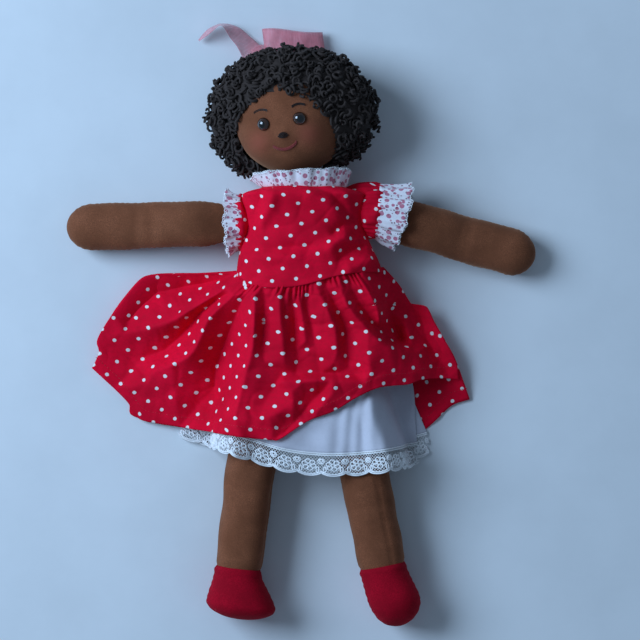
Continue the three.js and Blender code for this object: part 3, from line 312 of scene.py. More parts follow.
# Slack folds of the bodice's front
BODICE_FOLDS = [
    ([(-26, 34), (-31, 22), (-35, 11), (-43, 5)], 4, -4.5),
    ([(-20, 33), (-24, 18), (-30, 8), (-42, 0)], 5, 3),
    ([(-40, 24), (-43, 16), (-47, 10)], 4, 2),
    ([(-4, 34), (8, 31), (19, 27), (28, 18), (35, 8)], 4, -3),
    ([(-6, 29), (8, 26), (18, 20), (26, 11), (34, 3)], 5, 2.2),
    ([(39, 4), (27, 6), (17, -3)], 4, -3.6),
    ([(41, -1), (25, -4), (14, -14)], 4.5, 3.2),
    ([(46, -7), (33, -12), (20, -21)], 4, -3.2),
    ([(53, -14), (40, -22), (25, -26)], 4.5, 3.2),
    ([(-46, -9), (-24, -11), (0, -9), (18, -8)], 4, -2.2),
    ([(-45, -15), (-22, -17), (4, -15)], 5, 1.6),
    ([(-46, -21), (-38, -26), (-32, -34)], 4, -2),
]

# Stage, with the table in millimetres, and the camera and the window in metres
TABLE_HALF = 2500
TABLE_DROP = 0.3
SENSOR_WIDTH = 36  # of the camera, in millimetres as its lens is
CAMERA_PLACE = (0.0112, -0.0595)
CAMERA_REACH = 20
WINDOW_PLACE = (-1.25, 0.42, 1.15)
WINDOW_AIM = (0.0, -0.05, 0.0)
WINDOW_SIZE = 1.0
WINDOW_TINT = (0.52, 0.73, 1.0)
SKY_TINT = (0.5, 0.72, 1.0, 1)


# Settings

def colour(name, description, red, green, blue):
    """A colour property whose default is given as display values from 0 to 255."""
    def to_linear(value):
        share = value / 255
        return share / 12.92 if share <= 0.04045 else ((share + 0.055) / 1.055) ** 2.4

    return bpy.props.FloatVectorProperty(
        name=name, description=description, subtype="COLOR", size=4, min=0, max=1,
        default=(to_linear(red), to_linear(green), to_linear(blue), 1),
    )


def length(name, description, millimetres):
    return bpy.props.FloatProperty(
        name=name, description=description, default=millimetres * MM, min=0, unit="LENGTH", precision=5,
    )


class DollBodySettings(bpy.types.PropertyGroup):
    """Sizes and colours of the doll itself."""

    skin: colour("Skin", "Velveteen of the head, body and limbs", 140, 82, 54)
    skin_sheen: colour("Skin sheen", "Light that the velveteen's pile catches", 214, 164, 128)
    blush: colour("Blush", "Soft colour on the cheeks", 164, 84, 66)
    mouth: colour("Mouth", "Thread of the stitched mouth", 150, 62, 58)
    features: colour("Features", "Thread of the stitched nose and brows", 44, 25, 18)
    eye: colour("Eyes", "Plastic of the eyes", 38, 20, 12)
    yarn: colour("Hair", "Yarn of the curls", 34, 24, 20)
    felt: colour("Shoes", "Felt of the shoes", 180, 2, 34)
    ribbon: colour("Ribbon", "Sheer ribbon in the hair", 236, 142, 152)
    yarn_radius: length("Yarn radius", "Half the yarn's thickness", 0.95)
    curl_radius: length("Curl radius", "Radius of a curl", 3.3)
    curl_spacing: length("Curl spacing", "Least distance between curls", 4.0)
    thread_radius: length("Thread radius", "Half the embroidery thread's thickness", 0.42)


class DollDressSettings(bpy.types.PropertyGroup):
    """Sizes and colours of the dress and the petticoat."""

    cotton: colour("Dress", "Ground colour of the spotted cotton", 228, 6, 46)
    spot: colour("Spots", "Printed spots", 250, 244, 240)
    frill: colour("Frills", "Ground colour of the printed frills", 244, 238, 242)
    flower: colour("Flowers", "Printed flowers on the frills", 190, 66, 104)
    # Greyed well below white: painted shade for the skirt's shadow on the petticoat and the dark legs showing
    # through it
    lawn: colour("Petticoat", "Lawn of the petticoat", 208, 206, 216)
    lace: colour("Lace", "Thread of the lace edging", 252, 251, 252)
    spot_pitch: length("Spot pitch", "Distance between neighbouring spots", 11.4)
    spot_size: length("Spot size", "Diameter of a spot", 2.6)
    lace_thread: length("Lace thread", "Radius of the lace's outline thread", 0.52)
    net_thread: length("Net thread", "Radius of the lace's net thread", 0.19)
    stitch_pitch: length("Stitch pitch", "Distance between the stitches of the hem", 2.6)
    stitch_radius: length("Stitch radius", "Half a stitch's thickness", 0.24)


class DollStageSettings(bpy.types.PropertyGroup):
    """The table, the light and the camera."""

    table: colour("Table", "Painted table top", 226, 228, 230)
    key_light: bpy.props.FloatProperty(
        name="Window light", description="Power of the light from the upper left", default=35, min=0,
        unit="POWER")
    sky_light: bpy.props.FloatProperty(
        name="Room light", description="Strength of the even light in the room", default=0.24, min=0)
    camera_height: length("Camera height", "Height of the camera over the table", 2500)
    frame_width: length("Frame width", "Width of the table that the camera sees", 448)


# Curves and forms

def ease(value, low, high):
    share = np.clip((np.asarray(value, float) - low) / (high - low), 0, 1)
    return share * share * (3 - 2 * share)


def lerp(a, b, share):
    return a + (b - a) * share


def normalised(vectors):
    return vectors / np.linalg.norm(vectors, axis=-1, keepdims=True)


def run_along(points):
    """Length along a line of points, from its start to each of them."""
    return np.concatenate([[0], np.cumsum(np.linalg.norm(np.diff(points, axis=0), axis=-1))])


def along(stations, place):
    """A value between stations [(place, value), ...], eased from each station to the next."""
    place = np.asarray(place, float)
    value = np.full(place.shape, float(stations[0][1]))
    for (start, a), (end, b) in zip(stations, stations[1:]):
        value = np.where(place > start, lerp(a, b, ease(place, start, end)), value)
    return value


def rounded(distance, radius):
    """Share of the full width at a distance in from a round end."""
    return np.sqrt(1 - (1 - np.clip(np.asarray(distance, float) / radius, 0, 1)) ** 2)


def tip_steps(end, radius, count, last):
    """Distances along a form's round end, which draw closer together towards its tip."""
    return end - radius * (1 - np.sin(np.linspace(0.03, last, count) * math.pi / 2))


def bulge(value):
    """The sine or cosine of an angle around a stuffed section, made squarer."""
    return np.sign(value) * np.abs(value) ** (2 / OVAL_POWER)


def hill(distance, width):
    return np.exp(-((distance / width) ** 2))


def waver(points, wave, seed):
    """Smooth unevenness from about -1 to 1, with waves of about the given length."""
    draw = np.random.default_rng(seed)
    total = np.zeros(points.shape[:-1])
    for _ in range(6):
        direction = draw.normal(size=points.shape[-1])
        direction *= draw.uniform(0.7, 1.4) / np.linalg.norm(direction)
        total += np.sin(points @ direction * (TURN / wave) + draw.uniform(0, TURN))
    return total / 3


def line_distance(flat, line):
    """Distance from points of the plane to a line, and the nearest place on it as a share of its length."""
    line = np.array(line, float)
    nearest = np.full(flat.shape[:-1], np.inf)
    place = np.zeros(flat.shape[:-1])
    for k, (a, b) in enumerate(zip(line, line[1:])):
        way = b - a
        share = np.clip(((flat - a) @ way) / (way @ way), 0, 1)
        distance = np.linalg.norm(flat - (a + share[..., None] * way), axis=-1)
        closer = distance < nearest
        nearest = np.where(closer, distance, nearest)
        place = np.where(closer, (k + share) / (len(line) - 1), place)
    return nearest, place


def stepped(line, step=4.0):
    """Points along a line of straight stretches, at about even steps."""
    line = np.array(line, float)
    points = [line[:1]]
    for a, b in zip(line, line[1:]):
        count = max(1, round(np.linalg.norm((b - a)[:2]) / step))
        points.append(lerp(a, b, np.arange(1, count + 1)[:, None] / count))
    return np.concatenate(points)


def draped(flat, lines):
    """Height over points of the plane of cloth that spans between lines of known height."""
    known = np.concatenate([stepped(line) for line in lines])
    corners, _, triangles, origins, _, _ = delaunay_2d_cdt([Vector(p[:2]) for p in known], [], [], 0, 0.05)
    tops = [Vector((corner.x, corner.y, known[origin[0]][2])) for corner, origin in zip(corners, origins)]
    tree = BVHTree.FromPolygons(tops, triangles)
    height = np.zeros(flat.shape[:-1])
    for place in np.ndindex(height.shape):
        x, y = flat[place]
        hit = tree.ray_cast(Vector((x, y, 500)), Vector((0, 0, -1)))[0]
        height[place] = tree.find_nearest(Vector((x, y, 0)))[0].z if hit is None else hit.z
    return height


def softened(height, rounds):
    """A grid of heights with its sharp ridges rounded off, its edge kept as it is."""
    for _ in range(rounds):
        inner = height[1:-1, 1:-1]
        beside = height[:-2, 1:-1] + height[2:, 1:-1] + height[1:-1, :-2] + height[1:-1, 2:]
        height = height.copy()
        height[1:-1, 1:-1] = inner / 2 + beside / 8
    return height


def folded(flat, folds):
    """Height that a list of folds gives to points of the plane: round ridges and sharper creases."""
    height = np.zeros(flat.shape[:-1])
    for line, width, rise in folds:
        distance, place = line_distance(flat, line)
        shape = np.exp(-((distance / width) ** 2 if rise > 0 else (distance / width) ** 1.35))
        height += rise * shape * ease(place, 0, 0.25) * ease(1 - place, 0, 0.25)
    return height


def creased(flat, wave, seed):
    """Small sharp creases that run every way over slack cloth, from 0 down to -1."""
    return -np.clip(1 - 2.4 * np.abs(waver(flat, wave, seed)), 0, 1) ** 2


def spline(points):
    """A smooth curve through points, as a function of 0 to 1."""
    points = np.array(points, float)
    last = len(points) - 1

    def at(share):
        place = np.clip(np.asarray(share, float), 0, 1) * last
        k = np.minimum(np.floor(place).astype(int), last)
        w = (place - k)[..., None]
        p0, p1 = points[np.maximum(k - 1, 0)], points[k]
        p2, p3 = points[np.minimum(k + 1, last)], points[np.minimum(k + 2, last)]
        v0, v1 = (p2 - p0) / 2, (p3 - p1) / 2
        cubic, square = 2 * p1 - 2 * p2 + v0 + v1, 3 * p2 - 3 * p1 - 2 * v0 - v1
        return cubic * w**3 + square * w**2 + v0 * w + p1

    return at


def by_length(curve):
    """A curve of 0 to 1 in even steps of its length."""
    sampled = curve(np.linspace(0, 1, 400))
    run = run_along(sampled)

    def at(share):
        place = np.asarray(share, float) * run[-1]
        return np.stack([np.interp(place, run, axis) for axis in sampled.T], axis=-1)

    return at


def patch(top, hem, right, left):
    """A patch between four edges: top and hem run from the doll's right to its left, the sides downwards."""
    def at(s, r):
        across, down = s[..., None], r[..., None]
        start, end = np.zeros_like(s), np.ones_like(s)
        upper = lerp(top(start), top(end), across)
        lower = lerp(hem(start), hem(end), across)
        return lerp(top(s), hem(s), down) + lerp(right(r), left(r), across) - lerp(upper, lower, down)

    return at


def ball_grid(polar, count):
    """Directions from the middle of a ball whose pole is at +Y, in rings at polar angles."""
    around = np.arange(count) / count * TURN
    wide, high = np.sin(polar)[:, None], np.cos(polar)[:, None]
    return np.stack([wide * np.cos(around), high + 0 * around, wide * np.sin(around)], axis=-1)


# Meshes

def mesh_object(name, points, faces=(), edges=(), uv=None):
    """An object at the origin from points in millimetres, with one UV pair for each corner of a face."""
    mesh = bpy.data.meshes.new(name)
    mesh.from_pydata((np.asarray(points, float).reshape(-1, 3) * MM).tolist(), list(edges), list(faces))
    mesh.update()
    if faces:
        mesh.shade_smooth()
    if uv is not None:
        layer = mesh.uv_layers.new(name="cloth")
        layer.data.foreach_set("uv", (np.asarray(uv, float) * MM).ravel())
    made = bpy.data.objects.new(name, mesh)
    bpy.context.scene.collection.objects.link(made)
    return made


def edit_mesh(made, *changes):
    """Runs changes on the shape of an object's mesh."""
    shape = bmesh.new()
    shape.from_mesh(made.data)
    for change in changes:
        change(shape)
    shape.to_mesh(made.data)
    shape.free()
    return made


def turn_outward(shape):
    bmesh.ops.recalc_face_normals(shape, faces=shape.faces)


def drop_loose(shape):
    bmesh.ops.delete(shape, geom=[v for v in shape.verts if not v.link_faces], context="VERTS")


def drop_thin(shape):
    bmesh.ops.dissolve_degenerate(shape, dist=1e-6, edges=shape.edges)


def point_values(made, name, values):
    """Gives an object's points an attribute for its material."""
    made.data.attributes.new(name, "FLOAT", "POINT").data.foreach_set("value", values)


def grid_faces(rows, columns, closed):
    faces = []
    for i in range(rows - 1):
        for j in range(columns if closed else columns - 1):
            k = (j + 1) % columns
            faces.append((i * columns + j, i * columns + k, (i + 1) * columns + k, (i + 1) * columns + j))
    return faces


def grid_uv(uv):
    """UV pairs for the corners of a grid's faces. A closed grid's UV points have one column more than it."""
    return np.stack([uv[:-1, :-1], uv[:-1, 1:], uv[1:, 1:], uv[1:, :-1]], axis=2).reshape(-1, 2)


def between(grid, row, column):
    """Points of a grid at places between its rows and columns."""
    i = np.clip(np.floor(row).astype(int), 0, grid.shape[0] - 2)
    j = np.clip(np.floor(column).astype(int), 0, grid.shape[1] - 2)
    across = (column - j)[:, None]
    upper = lerp(grid[i, j], grid[i, j + 1], across)
    return lerp(upper, lerp(grid[i + 1, j], grid[i + 1, j + 1], across), (row - i)[:, None])


def grid_object(name, points, uv, closed=False):
    return mesh_object(name, points, grid_faces(*points.shape[:2], closed), uv=grid_uv(uv))


def stuffed_object(name, rings):
    """A closed skin over rings, with a fan across each end."""
    rows, columns = rings.shape[:2]
    points = np.concatenate([rings.reshape(-1, 3), rings[0].mean(0)[None], rings[-1].mean(0)[None]])
    faces = grid_faces(rows, columns, True)
    for j in range(columns):
        k = (j + 1) % columns
        faces.append((rows * columns, k, j))
        faces.append((rows * columns + 1, (rows - 1) * columns + j, (rows - 1) * columns + k))
    return edit_mesh(mesh_object(name, points, faces), turn_outward)


def settle(made):
    """Makes what an object's modifiers give its plain mesh."""
    bpy.context.view_layer.update()
    graph = bpy.context.evaluated_depsgraph_get()
    mesh = bpy.data.meshes.new_from_object(made.evaluated_get(graph), depsgraph=graph)
    made.modifiers.clear()
    made.data = mesh
    mesh.name = made.name
    return made


def thicken(made, millimetres):
    modifier = made.modifiers.new("cloth", "SOLIDIFY")
    modifier.thickness = millimetres * MM
    modifier.offset = 0
    return settle(made)


def cloth_uv(points):
    """UV points of a sheet's grid: a coarser one, pressed flat until its lengths are the cloth's own."""
    rows, columns = (np.unique(np.append(np.arange(0, n, UV_STEP), n - 1)) for n in points.shape[:2])
    coarse = points[np.ix_(rows, columns)]
    plan = coarse[..., :2]
    flat = plan.copy()
    whole, first, last = slice(None), slice(None, -1), slice(1, None)
    pairs = [((whole, first), (whole, last)), ((first, whole), (last, whole)),
             ((first, first), (last, last)), ((first, last), (last, first))]
    lengths = [np.linalg.norm(coarse[b] - coarse[a], axis=-1) for a, b in pairs]
    for turn in range(UV_ROUNDS):
        if turn % UV_REST == 0:
            shift = flat - plan
            flat = plan + np.stack([softened(shift[..., axis], 1) for axis in (0, 1)], axis=-1)
        move = np.zeros_like(flat)
        for (a, b), length_3d in zip(pairs, lengths):
            way = flat[b] - flat[a]
            excess = 1 - length_3d / np.maximum(np.linalg.norm(way, axis=-1), 0.01)
            move[a] += excess[..., None] * way
            move[b] -= excess[..., None] * way
        flat += UV_GAIN * move
    across = np.arange(points.shape[1])
    wide = np.stack([[np.interp(across, columns, row[:, axis]) for row in flat] for axis in (0, 1)], axis=-1)
    down = np.arange(points.shape[0])
    return np.stack([[np.interp(down, rows, column[:, axis]) for column in wide.transpose(1, 0, 2)]
                     for axis in (0, 1)], axis=-1).transpose(1, 0, 2)


def face_tree(made, pivot=(0, 0, 0), turn=0.0):
    """A piece's faces to cast rays on, turned about an upright axis through a pivot."""
    turned = Matrix.Translation(pivot) @ Matrix.Rotation(turn, 4, "Z") @ Matrix.Translation(-Vector(pivot))
    mesh = made.data
    return BVHTree.FromPolygons([turned @ v.co for v in mesh.vertices], [p.vertices for p in mesh.polygons])


def lay_over(points, trees, gap, reach=LAY_REACH):
    """Lifts a grid of points in soft swells so that it lies at least a gap over other pieces."""
    lift = np.zeros(points.shape[:-1])
    for place in np.ndindex(lift.shape):
        x, y, z = points[place]
        for tree in trees:
            hit = tree.ray_cast(Vector((x * MM, y * MM, 0.2)), Vector((0, 0, -1)))[0]
            if hit is not None:
                lift[place] = max(lift[place], hit.z / MM + gap - z)
    for average in [False] * reach + [True] * reach:
        wide = np.pad(lift, 1, mode="edge")
        beside = [wide[:-2, 1:-1], wide[2:, 1:-1], wide[1:-1, :-2], wide[1:-1, 2:]]
        around = np.stack([lift, *beside])
        lift = around.mean(axis=0) if average else around.max(axis=0)
    points[..., 2] += lift
    return points


def placed(points, pivot, turn):
    """Points of a local frame turned about Z and moved to a pivot."""
    c, s = math.cos(turn), math.sin(turn)
    x, y, z = points[..., 0], points[..., 1], points[..., 2]
    return np.stack([pivot[0] + c * x - s * y, pivot[1] + s * x + c * y, pivot[2] + z], axis=-1)


def on_head(points):
    """Points of the head's own frame, whose origin is the middle of the head."""
    return placed(np.asarray(points, float) + [0, HEAD_RISE, 0], NECK, HEAD_TILT)


# Node trees

def node(tree, kind, inputs=None, **settings):
    """A node with its settings, and its inputs as values or as sockets to link."""
    made = tree.nodes.new(kind)
    for name, value in settings.items():
        setattr(made, name, value)
    for key, value in (inputs or {}).items():
        socket = made.inputs[key]
        if isinstance(value, bpy.types.NodeSocket):
            tree.links.new(value, socket)
        else:
            socket.default_value = value
    return made


def maths(tree, operation, a, b=0.0):
    return node(tree, "ShaderNodeMath", {0: a, 1: b}, operation=operation).outputs[0]


def vector_maths(tree, operation, a, b=(0, 0, 0), output=0):
    return node(tree, "ShaderNodeVectorMath", {0: a, 1: b}, operation=operation).outputs[output]


def mixed(tree, share, a, b):
    made = node(tree, "ShaderNodeMix", {0: share, 6: a, 7: b}, data_type="RGBA")
    return made.outputs[2]


def ranged(tree, value, low, high, to_low=0.0, to_high=1.0):
    inputs = {"Value": value, "From Min": low, "From Max": high, "To Min": to_low, "To Max": to_high}
    return node(tree, "ShaderNodeMapRange", inputs, interpolation_type="SMOOTHSTEP").outputs[0]


def noise(tree, vector, scale, detail=3.0, roughness=0.55):
    inputs = {"Vector": vector, "Scale": scale, "Detail": detail, "Roughness": roughness}
    return node(tree, "ShaderNodeTexNoise", inputs).outputs["Fac"]


def shade(tone, factor):
    return (*(min(channel * factor, 1) for channel in tone[:3]), 1)


def finish(name, build, **sockets):
    """A material by name, made once: build(tree, shader) lays its nodes, and sockets are its even values."""
    made = bpy.data.materials.get(name)
    if made is None:
        made = bpy.data.materials.new(name)
        made.use_nodes = True
        tree = made.node_tree
        shader = tree.nodes["Principled BSDF"]
        for socket, value in sockets.items():
            shader.inputs[socket.replace("_", " ")].default_value = value
        build(tree, shader)
    return made


def connect(tree, shader, base, rough, bump=None):
    """Links a colour, a roughness from a value and two ends, and a bump's height, distance and strength."""
    value, low, high = rough
    links = {"Base Color": base, "Roughness": ranged(tree, value, 0.2, 0.8, low, high)}
    if bump is not None:
        inputs = dict(zip(("Height", "Distance", "Strength"), bump))
        links["Normal"] = node(tree, "ShaderNodeBump", inputs).outputs[0]
    for name, socket in links.items():
        tree.links.new(socket, shader.inputs[name])


def mottled(tree, value, limits, tone, factors):
    """A tone that goes from one factor to another as a value goes from limit to limit."""
    return mixed(tree, ranged(tree, value, *limits), *(shade(tone, factor) for factor in factors))


def object_coordinates(tree):
    return node(tree, "ShaderNodeTexCoord").outputs["Object"]


def cloth_coordinates(tree):
    return node(tree, "ShaderNodeUVMap", uv_map="cloth").outputs["UV"]


def body_settings():
    return bpy.context.scene.doll_body


def dress_settings():
    return bpy.context.scene.doll_dress


def velveteen():
    tone = body_settings().skin

    def build(tree, shader):
        place = object_coordinates(tree)
        nap = noise(tree, place, 55, 4, 0.6)
        pile = noise(tree, place, 1900, 2)
        base = mottled(tree, nap, (0.32, 0.7), tone, (0.78, 1.22))
        base = mixed(tree, ranged(tree, pile, 0.3, 0.75), shade(tone, 0.6), base)
        blush = node(tree, "ShaderNodeAttribute", attribute_name="blush").outputs["Fac"]
        base = mixed(tree, maths(tree, "MULTIPLY", blush, 0.55), base, tuple(body_settings().blush))
        height = maths(tree, "ADD", maths(tree, "MULTIPLY", nap, 2.0), pile)
        connect(tree, shader, base, (nap, 0.98, 0.8), (height, 0.0004, 0.45))

    return finish("velveteen", build, Sheen_Weight=0.55, Sheen_Roughness=0.4,
                  Sheen_Tint=tuple(body_settings().skin_sheen), Specular_IOR_Level=0.2)


def shoe_felt():
    tone = body_settings().felt

    def build(tree, shader):
        place = object_coordinates(tree)
        patches = noise(tree, place, 80, 4, 0.65)
        fibres = noise(tree, place, 1300, 3, 0.7)
        base = mottled(tree, patches, (0.3, 0.72), tone, (0.75, 1.2))
        base = mixed(tree, ranged(tree, fibres, 0.3, 0.75), shade(tone, 0.62), base)
        connect(tree, shader, base, (fibres, 1.0, 0.85), (maths(tree, "ADD", fibres, patches), 0.0005, 0.5))

    return finish("shoe felt", build, Sheen_Weight=0.06, Sheen_Roughness=0.5,
                  Sheen_Tint=shade(tone, 2.2), Specular_IOR_Level=0.15)


def weave(tree, place, threads_per_metre, weight, coarse):
    """Height of a plain weave on top of a coarser height."""
    parts = node(tree, "ShaderNodeSeparateXYZ", {0: place}).outputs
    step = threads_per_metre * math.pi
    waves = [maths(tree, "SINE", maths(tree, "MULTIPLY", parts[k], step)) for k in (0, 1)]
    crossed = maths(tree, "MULTIPLY", waves[0], waves[1])
    return maths(tree, "ADD", maths(tree, "MULTIPLY", crossed, weight), coarse)


def spotted_cotton():
    settings = dress_settings()

    def build(tree, shader):
        place = cloth_coordinates(tree)
        inputs = {"Vector": place, "Scale": 900.0, "Detail": 2.0}
        uneven = node(tree, "ShaderNodeTexNoise", inputs).outputs["Color"]
        shift = vector_maths(tree, "SUBTRACT", uneven, (0.5,) * 3)
        shift = vector_maths(tree, "MULTIPLY", shift, (0.0006,) * 3)
        turned = node(tree, "ShaderNodeMapping", {
            "Vector": vector_maths(tree, "ADD", place, shift),
            "Rotation": (0, 0, math.radians(38)),
            "Scale": (1 / settings.spot_pitch,) * 3,
        }).outputs[0]
        cell = vector_maths(tree, "SUBTRACT", vector_maths(tree, "FRACTION", turned), (0.5, 0.5, 0))
        cell = vector_maths(tree, "MULTIPLY", cell, (1, 1, 0))
        away = vector_maths(tree, "LENGTH", cell, output=1)
        radius = settings.spot_size / settings.spot_pitch / 2
        printed = ranged(tree, away, radius * 0.86, radius * 1.14, 1.0, 0.0)
        wash = noise(tree, place, 28, 4, 0.6)
        slub = noise(tree, place, 420, 2)
        base = mottled(tree, wash, (0.3, 0.7), settings.cotton, (0.84, 1.12))
        base = mixed(tree, ranged(tree, slub, 0.35, 0.75, 0.0, 0.35), base, shade(settings.cotton, 0.66))
        base = mixed(tree, printed, base, mixed(tree, slub, tuple(settings.spot), shade(settings.spot, 0.8)))
        height = weave(tree, place, 2600, 0.35, slub)
        connect(tree, shader, base, (slub, 0.92, 0.74), (height, 0.00025, 0.4))

    return finish("spotted cotton", build, Specular_IOR_Level=0.1)


def printed_cotton():
    settings = dress_settings()

    def build(tree, shader):
        place = cloth_coordinates(tree)
        base = tuple(settings.frill)
        prints = ((0.004, 0.48, tuple(settings.flower)), (0.0025, 0.3, shade(settings.flower, 0.3)))
        for pitch, radius, tone in prints:
            inputs = {"Vector": place, "Scale": 1 / pitch, "Randomness": 0.75}
            cells = node(tree, "ShaderNodeTexVoronoi", inputs)
            petals = noise(tree, place, 2600, 1)
            edge = maths(tree, "ADD", cells.outputs["Distance"], maths(tree, "MULTIPLY", petals, 0.16))
            base = mixed(tree, ranged(tree, edge, radius, radius + 0.09, 0.85, 0.0), base, tone)
        slub = noise(tree, place, 500, 2)
        base = mixed(tree, ranged(tree, slub, 0.4, 0.8, 0.0, 0.3), base, shade(settings.frill, 0.7))
        height = weave(tree, place, 2800, 0.4, slub)
        connect(tree, shader, base, (slub, 0.95, 0.8), (height, 0.0002, 0.4))

    return finish("printed cotton", build, Sheen_Weight=0.1, Specular_IOR_Level=0.3)


def white_lawn():
    # The lawn's greyed tone is painted shade, for the skirt's shadow and the legs under the thin cloth
    tone = dress_settings().lawn

    def build(tree, shader):
        place = cloth_coordinates(tree)
        wash = noise(tree, place, 30, 4, 0.6)
        slub = noise(tree, place, 520, 2)
        base = mottled(tree, wash, (0.3, 0.75), tone, (0.9, 1.0))
        base = mixed(tree, ranged(tree, slub, 0.45, 0.8, 0.0, 0.3), base, shade(tone, 0.78))
        height = weave(tree, place, 3000, 0.4, slub)
        connect(tree, shader, base, (slub, 0.9, 0.75), (height, 0.0002, 0.35))

    return finish("white lawn", build, Sheen_Weight=0.1, Specular_IOR_Level=0.3)


def thread(name, tone, grain=1500.0, dark=0.62):
    """Twisted thread or yarn."""
    def build(tree, shader):
        place = object_coordinates(tree)
        fibres = noise(tree, place, grain, 3, 0.65)
        tufts = noise(tree, place, 160, 3)
        base = mottled(tree, fibres, (0.3, 0.72), tone, (dark, 1.25))
        base = mixed(tree, ranged(tree, tufts, 0.3, 0.7, 0.0, 0.4), base, shade(tone, dark))
        connect(tree, shader, base, (fibres, 0.95, 0.7), (fibres, 0.0003, 0.5))

    return finish(name, build, Sheen_Weight=0.3, Sheen_Roughness=0.4, Specular_IOR_Level=0.25)


def lace_cotton():
    return thread("lace thread", dress_settings().lace, dark=0.9)


def sheer_ribbon():
    tone = body_settings().ribbon

    def build(tree, shader):
        place = cloth_coordinates(tree)
        crush = noise(tree, place, 140, 4, 0.6)
        streaks = noise(tree, vector_maths(tree, "MULTIPLY", place, (0.15, 1, 1)), 700, 3)
        base = mottled(tree, crush, (0.3, 0.7), tone, (0.86, 1.1))
        base = mixed(tree, ranged(tree, streaks, 0.45, 0.7, 0.0, 0.6), base, shade(tone, 1.5))
        height = weave(tree, place, 2400, 0.3, crush)
        connect(tree, shader, base, (crush, 0.3, 0.5), (height, 0.0004, 0.3))

    return finish("sheer ribbon", build, Alpha=0.5, Sheen_Weight=0.3, Specular_IOR_Level=0.5)


def eye_plastic():
    tone = body_settings().eye

    def build(tree, shader):
        ring = node(tree, "ShaderNodeAttribute", attribute_name="ring").outputs["Fac"]
        specks = noise(tree, object_coordinates(tree), 900, 3)
        iris = mixed(tree, specks, shade(tone, 1.2), shade(tone, 3.0))
        base = mixed(tree, ranged(tree, ring, 0.5, 0.56), (0.004, 0.003, 0.003, 1), iris)
        base = mixed(tree, ranged(tree, ring, 0.86, 0.94), base, shade(tone, 0.3))
        connect(tree, shader, base, (specks, 0.05, 0.1))

    return finish("eye plastic", build, Coat_Weight=1.0, Coat_Roughness=0.03, IOR=1.49)


def stud_steel():
    def build(tree, shader):
        worn = noise(tree, object_coordinates(tree), 700, 4)
        base = mixed(tree, worn, (0.36, 0.37, 0.39, 1), (0.62, 0.63, 0.65, 1))
        connect(tree, shader, base, (worn, 0.22, 0.42), (worn, 0.0001, 0.3))

    return finish("stud steel", build, Metallic=1.0)


def washer_nylon():
    def build(tree, shader):
        cloud = noise(tree, object_coordinates(tree), 400, 3)
        base = mixed(tree, cloud, (0.68, 0.66, 0.6, 1), (0.82, 0.8, 0.74, 1))
        connect(tree, shader, base, (cloud, 0.35, 0.5), (cloud, 0.0001, 0.2))

    return finish("washer nylon", build)


def table_paint():
    tone = bpy.context.scene.doll_stage.table

    def build(tree, shader):
        place = object_coordinates(tree)
        marks = noise(tree, place, 9, 5, 0.6)
        specks = noise(tree, place, 260, 2)
        base = mottled(tree, marks, (0.3, 0.7), tone, (0.96, 1.03))
        base = mixed(tree, ranged(tree, specks, 0.7, 0.8, 0.0, 0.1), base, shade(tone, 0.8))
        connect(tree, shader, base, (marks, 0.36, 0.46), (specks, 0.0001, 0.08))

    return finish("table paint", build)


# Geometry Nodes

def geometry_tree(name, inputs):
    """A new tree with a geometry input and output, and its other named inputs."""
    tree = bpy.data.node_groups.new(name, "GeometryNodeTree")
    tree.interface.new_socket("Geometry", in_out="INPUT", socket_type="NodeSocketGeometry")
    for label, kind in inputs.items():
        tree.interface.new_socket(label, in_out="INPUT", socket_type="NodeSocket" + kind)
    tree.interface.new_socket("Geometry", in_out="OUTPUT", socket_type="NodeSocketGeometry")
    return tree, node(tree, "NodeGroupInput").outputs


def end_tree(tree, geometry, material):
    whole = node(tree, "GeometryNodeRealizeInstances", {0: geometry}).outputs[0]
    smooth = node(tree, "GeometryNodeSetShadeSmooth", {"Geometry": whole}).outputs[0]
    named = node(tree, "GeometryNodeSetMaterial", {"Geometry": smooth, "Material": material}).outputs[0]
    node(tree, "NodeGroupOutput", {0: named})
    return tree


def grow(made, tree, **values):
    """Runs a tree on an object, with its inputs by name, and keeps the plain mesh."""
    modifier = made.modifiers.new(tree.name, "NODES")
    modifier.node_group = tree
    for item in tree.interface.items_tree:
        if item.in_out == "INPUT" and item.name in values:
            modifier[item.identifier] = values[item.name]
    return settle(made)


def tree_once(build):
    name = build.__name__
    return bpy.data.node_groups.get(name) or build(name)


def thread_tree(name):
    """A round thread along each line of edges."""
    tree, inputs = geometry_tree(name, {"Radius": "Float", "Sides": "Int", "Material": "Material"})
    line = node(tree, "GeometryNodeMeshToCurve", {"Mesh": inputs["Geometry"]}).outputs[0]
    ring = {"Resolution": inputs["Sides"], "Radius": inputs["Radius"]}
    section = node(tree, "GeometryNodeCurvePrimitiveCircle", ring).outputs[0]
    tube = {"Curve": line, "Profile Curve": section, "Fill Caps": True}
    return end_tree(tree, node(tree, "GeometryNodeCurveToMesh", tube).outputs[0], inputs["Material"])


def row_tree(name, inputs, make_one):
    """Copies of one small shape at an even pitch along each line of edges, turned to follow it."""
    tree, inputs = geometry_tree(name, {"Pitch": "Float", **inputs, "Material": "Material"})
    line = node(tree, "GeometryNodeMeshToCurve", {"Mesh": inputs["Geometry"]}).outputs[0]
    steps = {"Curve": line, "Length": inputs["Pitch"]}
    spaced = node(tree, "GeometryNodeResampleCurve", steps, mode="LENGTH")
    run = node(tree, "GeometryNodeInputTangent").outputs[0]
    facing = node(tree, "FunctionNodeAlignRotationToVector", {"Vector": run}, axis="X").outputs[0]
    shape, scale = make_one(tree, inputs)
    each = {"Points": spaced.outputs[0], "Instance": shape, "Rotation": facing, "Scale": scale}
    return end_tree(tree, node(tree, "GeometryNodeInstanceOnPoints", each).outputs[0], inputs["Material"])


